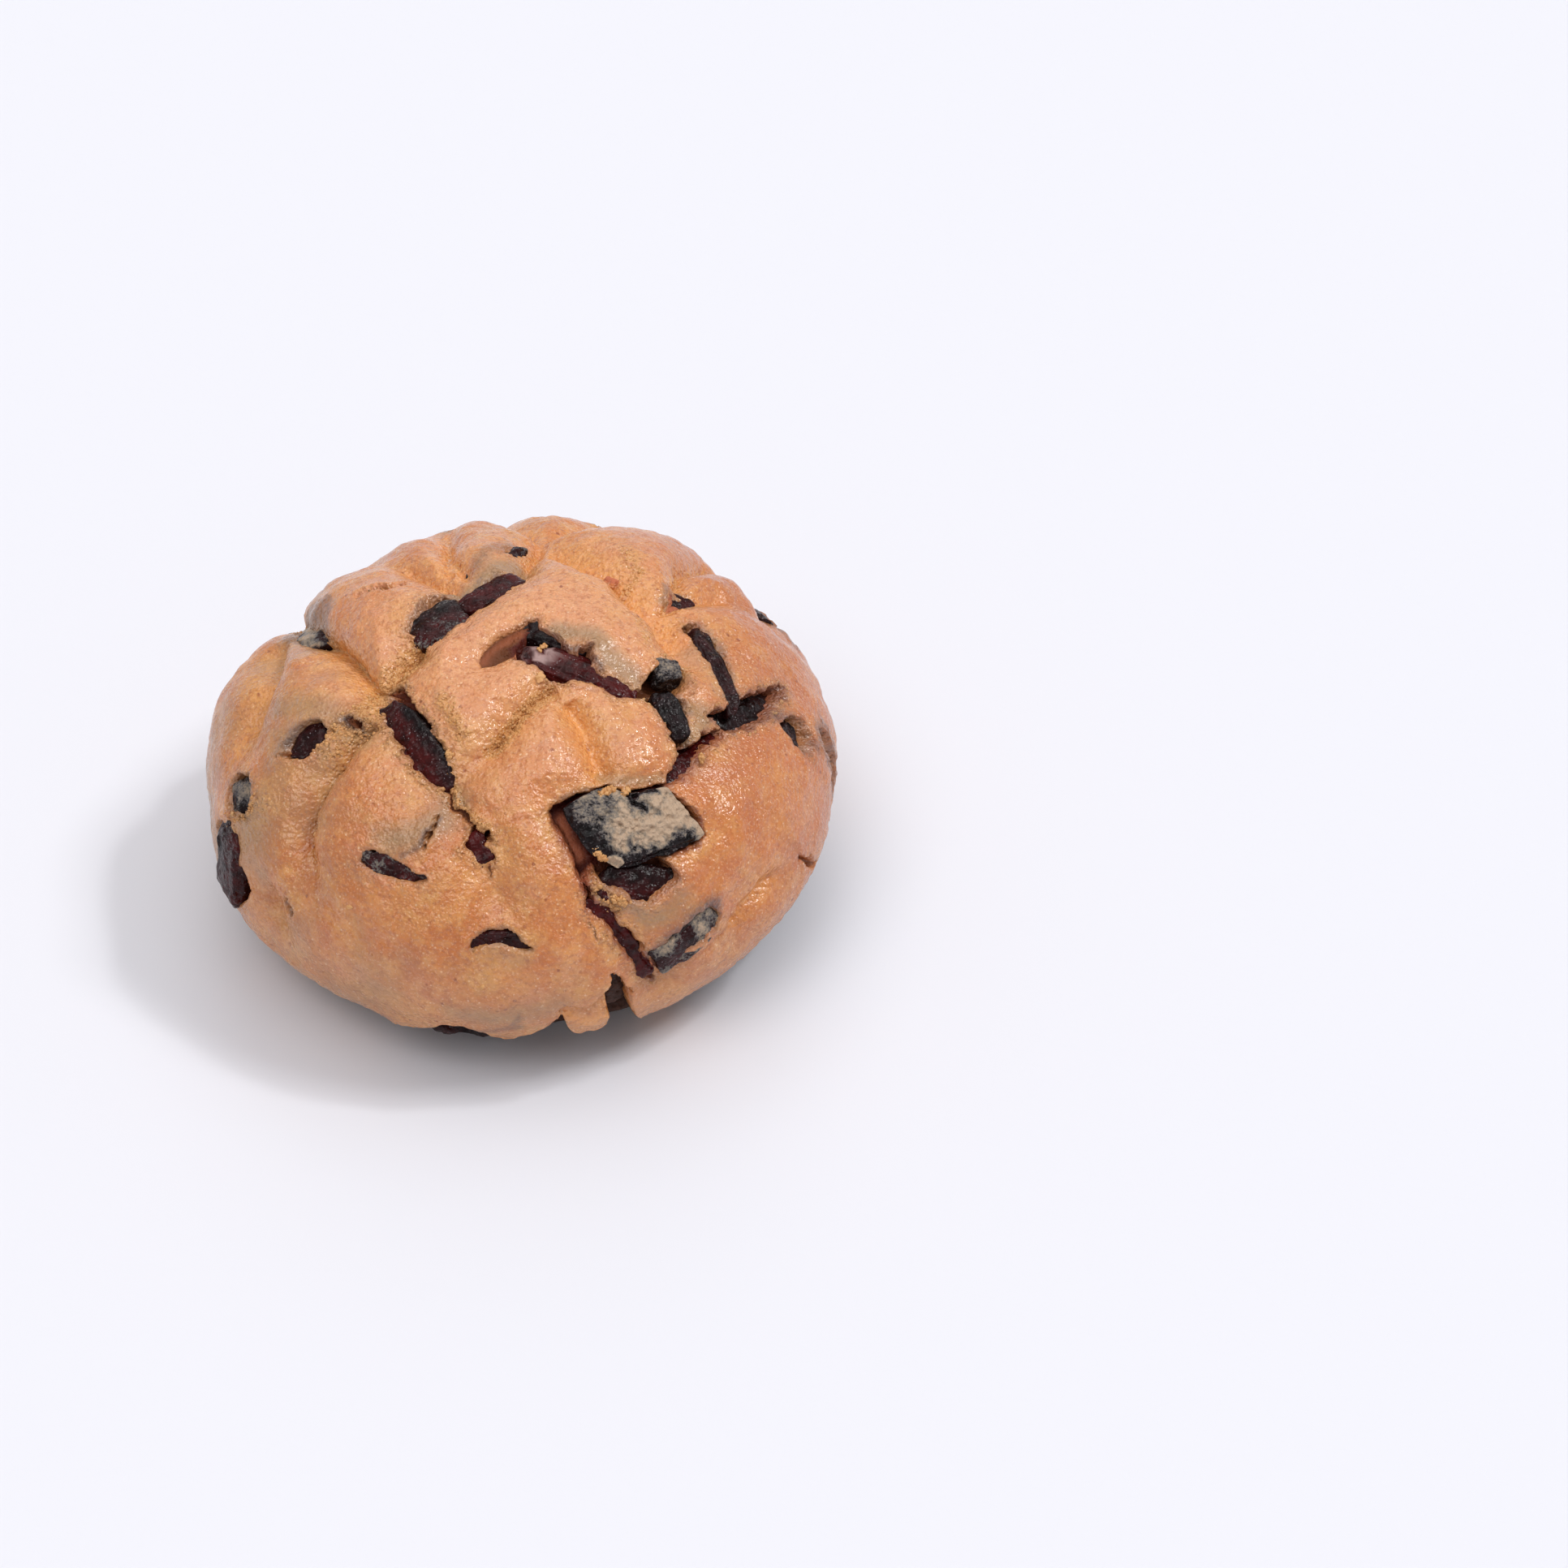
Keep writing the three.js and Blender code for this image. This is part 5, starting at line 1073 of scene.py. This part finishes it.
def crust_material(name, specular, sheen_low):
    m = Nodes(name)
    a = {k: m.attr(k) for k in PAINTS + ("hole", "juice", "rough", "height", "notch", "sag")}
    big, mid, soft, small, tiny = m.noise(15, 2, 0.5), m.noise(5.0, 3, 0.55), m.noise(2.2, 2, 0.55), m.noise(0.95, 2, 0.6), m.noise(0.42, 2, 0.6)
    patch = m.noise(6.5, 3, 0.6, 0.4)
    col = m.mix(m.ramp(big, [(0.36, 0.0), (0.64, 1.0)]), (0.565, 0.176, 0.042), (0.630, 0.221, 0.063))
    # yellower in the sags between tiles, pinker in patches on top of them
    yellow = m.ramp(m.math("ADD", m.noise(8.0, 3, 0.55), m.mul(a["sag"], 0.16)), [(0.50, 0.0), (0.66, 0.72)])
    col = m.mix(yellow, col, (0.640, 0.315, 0.098))
    pink = m.ramp(m.math("SUBTRACT", m.noise(7.0, 3, 0.55), m.mul(a["sag"], 0.10)), [(0.52, 0.0), (0.66, 0.62)])
    col = m.mix(pink, col, (0.610, 0.225, 0.112))
    # browner bake in patches, paler yellow dough between
    col = m.mix(m.ramp(mid, [(0.44, 0.0), (0.64, 0.66)]), col, (0.535, 0.157, 0.041))
    col = m.mix(m.ramp(patch, [(0.47, 0.0), (0.66, 0.60)]), col, (0.735, 0.328, 0.098))
    col = m.mix(m.ramp(soft, [(0.50, 0.0), (0.68, 0.40)]), col, (0.755, 0.375, 0.136))
    # painted shade: darker brown along creases and on the lower right flank, with browner bake in patches
    col = m.mix(m.mul(m.jitter(a["brown_bake_and_shade"], mid, 0.9, 0.35, 0.95), 0.70), col, (0.480, 0.140, 0.048))
    # paler, yellower tan towards the skirt
    skirt = m.ramp(m.math("ADD", a["height"], m.mul(m.math("SUBTRACT", mid, 0.5), 0.26)), [(0.10, 1.0), (0.46, 0.0)])
    col = m.mix(m.mul(skirt, 0.70), col, (0.580, 0.285, 0.108))
    # painted sheen: paler and pinker round the crown
    top = m.ramp(m.math("ADD", a["height"], m.mul(m.math("SUBTRACT", mid, 0.5), 0.20)), [(0.80, 0.0), (1.0, 0.62)])
    col = m.mix(top, col, (0.800, 0.375, 0.185))
    # pale yellow torn crumb in the rough creases, orange in the soft ones
    col = m.mix(m.mul(a["orange"], 0.62), col, (0.850, 0.355, 0.088))
    col = m.mix(m.mul(m.jitter(a["crumb"], small, 0.8, 0.25, 0.75), 0.75), col, (0.650, 0.305, 0.092))
    # freckles of darker bake
    near = m.ramp(m.math("ADD", m.cells(3.3), m.mul(m.math("SUBTRACT", tiny, 0.5), 0.12)), [(0.05, 1.0), (0.13, 0.0)])
    col = m.mix(m.mul(m.mul(near, m.ramp(m.noise(7.0, 1, 0.5), [(0.44, 0.0), (0.52, 1.0)])), 0.85), col, (0.260, 0.052, 0.016))
    near = m.ramp(m.math("ADD", m.cells(1.8), m.mul(m.math("SUBTRACT", tiny, 0.5), 0.25)), [(0.08, 1.0), (0.24, 0.0)])
    col = m.mix(m.mul(m.mul(near, m.ramp(m.noise(4.0, 1, 0.5), [(0.44, 0.0), (0.58, 1.0)])), 0.62), col, (0.380, 0.100, 0.030))
    # grain of the dough
    col = m.mix(m.ramp(small, [(0.34, 0.50), (0.50, 0.0)]), col, (0.430, 0.125, 0.038))
    col = m.mix(m.ramp(tiny, [(0.54, 0.0), (0.70, 0.34)]), col, (0.900, 0.540, 0.300))
    # painted glints: small pale specks standing in for highlights on the crust
    near = m.ramp(m.math("ADD", m.cells(1.15), m.mul(m.math("SUBTRACT", tiny, 0.5), 0.18)), [(0.08, 1.0), (0.20, 0.0)])
    col = m.mix(m.mul(m.mul(near, m.ramp(soft, [(0.42, 0.0), (0.54, 1.0)])), 0.55), col, (0.930, 0.640, 0.400))
    # grey bleed, blue black stain and dark red juice from the fruit; the olive mask also carries painted shade on the
    # lower left flank
    col = m.mix(m.mul(m.jitter(a["olive_stain_and_shade"], mid, 0.7, 0.15, 0.85), 0.80), col, (0.350, 0.214, 0.110))
    col = m.mix(m.mul(m.jitter(a["ink"], small, 0.75, 0.10, 0.90), 0.88), col, (0.060, 0.044, 0.050))
    col = m.mix(m.mul(m.jitter(a["wine"], small, 0.5, 0.20, 0.85), 0.72), col, (0.260, 0.050, 0.034))
    # painted shade: the walls of the openings darken towards their floor, except under the orange strokes
    shade = m.ramp(a["hole"], [(0.72, 0.0), (1.0, 1.0)])
    wet = m.mix(shade, (0.660, 0.200, 0.096), (0.075, 0.008, 0.007))
    wall = m.mix(a["juice"], m.mix(shade, (0.420, 0.190, 0.062), (0.150, 0.055, 0.022)), wet)
    wall = m.mix(a["orange"], wall, (0.540, 0.165, 0.082))
    wall = m.mix(a["notch"], wall, (0.120, 0.050, 0.026))
    col = m.mix(m.jitter(a["hole"], small, 0.35, 0.25, 0.85), col, wall)
    rim = m.mul(m.math("SUBTRACT", 1.0, a["hole"]), m.jitter(a["juice"], small, 0.6, 0.35, 1.0))
    col = m.mix(m.mul(rim, 0.60), col, (0.220, 0.040, 0.026))
    m.link(col, m.bsdf.inputs["Base Color"])
    r = m.ramp(m.math("ADD", m.math("SUBTRACT", mid, m.mul(a["gloss"], 0.45)), m.mul(a["rough"], 0.30)), [(0.20, sheen_low), (0.55, sheen_low + 0.05), (0.85, 0.36)])
    m.link(r, m.bsdf.inputs["Roughness"])
    m.bsdf.inputs["Specular IOR Level"].default_value = specular
    m.bsdf.inputs["Subsurface Weight"].default_value = 0.12
    m.bsdf.inputs["Subsurface Radius"].default_value = (1.0, 0.45, 0.2)
    m.bsdf.inputs["Subsurface Scale"].default_value = 0.002
    crumbly = m.mul(m.ramp(m.cells(0.7), [(0.10, 0.0), (0.50, 1.0)]), m.mul(a["rough"], 1.6))
    b1 = m.bump(m.noise(2.6, 1, 0.4), 0.16, 1.0)
    ripple = m.math("ADD", m.mul(m.noise(0.66, 1.5, 0.45), m.math("SUBTRACT", 1.0, m.mul(a["gloss"], 0.85))), m.mul(m.noise(0.95, 1, 0.35), m.mul(a["gloss"], 1.25)))
    b2 = m.bump(ripple, 0.31, 1.0, b1)
    b3 = m.bump(m.math("ADD", m.mul(tiny, 0.40), crumbly), 0.22, 1.0, b2)
    m.link(b3, m.bsdf.inputs["Normal"])
    return m.mat


def crumb_material():
    m = Nodes("crust_crumb")
    small = m.noise(0.8, 2, 0.6)
    col = m.mix(m.ramp(small, [(0.35, 0.0), (0.65, 1.0)]), (0.560, 0.255, 0.082), (0.700, 0.375, 0.145))
    col = m.mix(m.mul(m.attr("juice"), 0.6), col, (0.180, 0.050, 0.032))
    col = m.mix(m.mul(m.attr("ink"), 0.6), col, (0.100, 0.080, 0.070))
    m.link(col, m.bsdf.inputs["Base Color"])
    m.bsdf.inputs["Roughness"].default_value = 0.45
    m.link(m.bump(small, 0.1, 0.6), m.bsdf.inputs["Normal"])
    return m.mat


def bread_material():
    m = Nodes("cocoa_bread")
    mid, small = m.noise(3.0, 3, 0.6), m.noise(0.9, 3, 0.6)
    col = m.mix(m.ramp(mid, [(0.35, 0.0), (0.65, 1.0)]), (0.028, 0.012, 0.008), (0.066, 0.028, 0.018))
    col = m.mix(m.mul(m.attr("base"), 0.5), col, (0.055, 0.020, 0.013))
    col = m.mix(m.ramp(small, [(0.60, 0.0), (0.72, 0.5)]), col, (0.130, 0.065, 0.045))
    m.link(col, m.bsdf.inputs["Base Color"])
    m.link(m.ramp(small, [(0.3, 0.50), (0.7, 0.80)]), m.bsdf.inputs["Roughness"])
    m.bsdf.inputs["Specular IOR Level"].default_value = 0.2
    h = m.math("ADD", m.ramp(m.cells(1.2), [(0.15, 0.0), (0.5, 1.0)]), m.mul(small, 0.7))
    m.link(m.bump(h, 0.35, 0.9), m.bsdf.inputs["Normal"])
    return m.mat


def fruit_material():
    m = Nodes("dried_fruit")
    red, dust, pale_pink_patch = m.attr("red"), m.attr("dust"), m.attr("pale_pink_patch")
    mid, small, tiny = m.noise(2.4, 3, 0.6), m.noise(0.8, 3, 0.6), m.noise(0.4, 2, 0.6)
    black = m.mix(m.ramp(mid, [(0.35, 0.0), (0.65, 1.0)]), (0.003, 0.002, 0.002), (0.013, 0.006, 0.007))
    reddish = m.mix(m.ramp(mid, [(0.35, 0.0), (0.65, 1.0)]), (0.022, 0.0016, 0.0016), (0.080, 0.005, 0.005))
    col = m.mix(red, black, reddish)
    # painted glints: small pale specks standing in for highlights on the wet flesh
    near = m.ramp(m.math("ADD", m.cells(0.9), m.mul(m.math("SUBTRACT", tiny, 0.5), 0.3)), [(0.10, 1.0), (0.24, 0.0)])
    col = m.mix(m.mul(m.mul(near, m.ramp(mid, [(0.46, 0.0), (0.58, 1.0)])), 0.45), col, (0.200, 0.110, 0.110))
    near = m.ramp(m.math("ADD", m.cells(0.62), m.mul(m.math("SUBTRACT", tiny, 0.5), 0.2)), [(0.08, 1.0), (0.20, 0.0)])
    col = m.mix(m.mul(m.mul(near, m.ramp(m.noise(1.7, 1, 0.5), [(0.50, 0.0), (0.60, 1.0)])), 0.55), col, (0.420, 0.370, 0.390))
    # dust of dough: purple grey where thin, beige where thick
    d = m.math("ADD", dust, m.math("ADD", m.mul(m.math("SUBTRACT", small, 0.5), 0.75), m.mul(m.math("SUBTRACT", tiny, 0.5), 0.55)))
    grain = m.ramp(d, [(0.22, (0.022, 0.015, 0.016)), (0.40, (0.092, 0.080, 0.080)), (0.62, (0.235, 0.190, 0.148)), (0.95, (0.500, 0.355, 0.245))])
    col = m.mix(m.ramp(d, [(0.24, 0.0), (0.44, 1.0)]), col, grain)
    # pale pinkish patch on centre_red
    col = m.mix(m.mul(pale_pink_patch, 0.90), col, (0.470, 0.310, 0.290))
    m.link(col, m.bsdf.inputs["Base Color"])
    r = m.math("ADD", m.ramp(small, [(0.3, 0.12), (0.7, 0.30)]), m.mul(m.ramp(d, [(0.18, 0.0), (0.42, 1.0)]), 0.12))
    m.link(r, m.bsdf.inputs["Roughness"])
    m.bsdf.inputs["Specular IOR Level"].default_value = 0.19
    h = m.math("ADD", m.noise(2.2, 1, 0.4), m.math("ADD", m.mul(m.noise(1.0, 1, 0.4), 0.9), m.mul(m.mul(tiny, d), 0.35)))
    m.link(m.bump(h, 0.45, 1.0), m.bsdf.inputs["Normal"])
    return m.mat


MAT_CRUST, MAT_TORN = crust_material("baked_cookie_crust", 0.72, 0.14), crust_material("torn_crust_wall", 0.12, 0.30)
MAT_CRUMB, MAT_BREAD, MAT_FRUIT = crumb_material(), bread_material(), fruit_material()
crust.data.materials.append(MAT_CRUST)
crust.data.materials.append(MAT_TORN)
crust.data.polygons.foreach_set("material_index", (F["hole"][T].mean(1) > 0.7).astype(np.int32))
crumbs.data.materials.append(MAT_CRUMB)
bread.data.materials.append(MAT_BREAD)

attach(crust, "root")
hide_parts("cookie_crust")
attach(crumbs, "root")
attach(bread, "root")
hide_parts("bread")
for k, ob in fruit_objects.items():
    ob.data.materials.append(MAT_FRUIT)
    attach(ob, "root")
    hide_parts("fruit_" + k)

# ------------------------------------------------------------------ floor, light, camera
floor_mesh = bpy.data.meshes.new("floor")
floor_mesh.from_pydata([(-3, -3, 0), (3, -3, 0), (3, 3, 0), (-3, 3, 0)], [], [(0, 1, 2, 3)])
floor = bpy.data.objects.new("floor", floor_mesh)
bpy.context.scene.collection.objects.link(floor)
fm = Nodes("pale_floor")
fm.bsdf.inputs["Base Color"].default_value = (0.80, 0.80, 0.855, 1)
fm.bsdf.inputs["Roughness"].default_value = 0.8
fm.bsdf.inputs["Specular IOR Level"].default_value = 0.1
fm.link(fm.bump(fm.noise(0.8, 2, 0.5), 0.02, 0.3), fm.bsdf.inputs["Normal"])
floor_mesh.materials.append(fm.mat)

scene = bpy.context.scene
scene.view_settings.view_transform = "Standard"
scene.view_settings.look = "None"
scene.view_settings.exposure = 0.0
world = bpy.data.worlds.new("studio")
world.use_nodes = True
world.node_tree.nodes["Background"].inputs[0].default_value = (0.985, 0.985, 1.0, 1)
wt = world.node_tree
w_dir, w_xyz, w_ramp = wt.nodes.new("ShaderNodeTexCoord"), wt.nodes.new("ShaderNodeSeparateXYZ"), wt.nodes.new("ShaderNodeValToRGB")
wt.links.new(w_dir.outputs["Generated"], w_xyz.inputs[0])
wt.links.new(w_xyz.outputs["Z"], w_ramp.inputs[0])
el = w_ramp.color_ramp.elements
while len(el) < 3:
    el.new(0.5)
for e, (pos, v) in zip(el, ((0.02, 0.62), (0.30, 0.42), (0.75, 0.30))):
    e.position, e.color = pos, (v, v, v, 1)
wt.links.new(w_ramp.outputs[0], wt.nodes["Background"].inputs[1])
scene.world = world

from mathutils import Matrix, Vector


def sun(name, az, elev, angle, strength, colour=(1, 1, 1)):
    d = bpy.data.lights.new(name, "SUN")
    d.angle = math.radians(angle)
    d.energy = strength
    d.color = colour
    o = bpy.data.objects.new(name, d)
    scene.collection.objects.link(o)
    o.rotation_euler = Vector(direction(float(az), float(elev))).to_track_quat("Z", "Y").to_euler()
    return o


sun("key", 86, 52, 14, 0.78)
sun("spark", 97, 56, 5, 0.42)
sun("overhead", 150, 84, 72, 1.00)
sun("fill", -45, 60, 34, 0.58)
sun("rear", 175, 40, 30, 0.22)

cam_data = bpy.data.cameras.new("camera")
cam_data.lens = 85
cam_data.sensor_width = 36
cam_data.clip_start = 0.01
cam = bpy.data.objects.new("camera", cam_data)
scene.collection.objects.link(cam)
yaw, pitch = 0.0958282, -0.75738917
f = np.array([math.sin(yaw) * math.cos(pitch), math.cos(yaw) * math.cos(pitch), math.sin(pitch)])
r = np.array([math.cos(yaw), -math.sin(yaw), 0.0])
up = np.cross(r, f)
cam.matrix_world = Matrix(((r[0], up[0], -f[0], 0.00084), (r[1], up[1], -f[1], -0.45282794), (r[2], up[2], -f[2], 0.44415698), (0, 0, 0, 1)))
scene.camera = cam
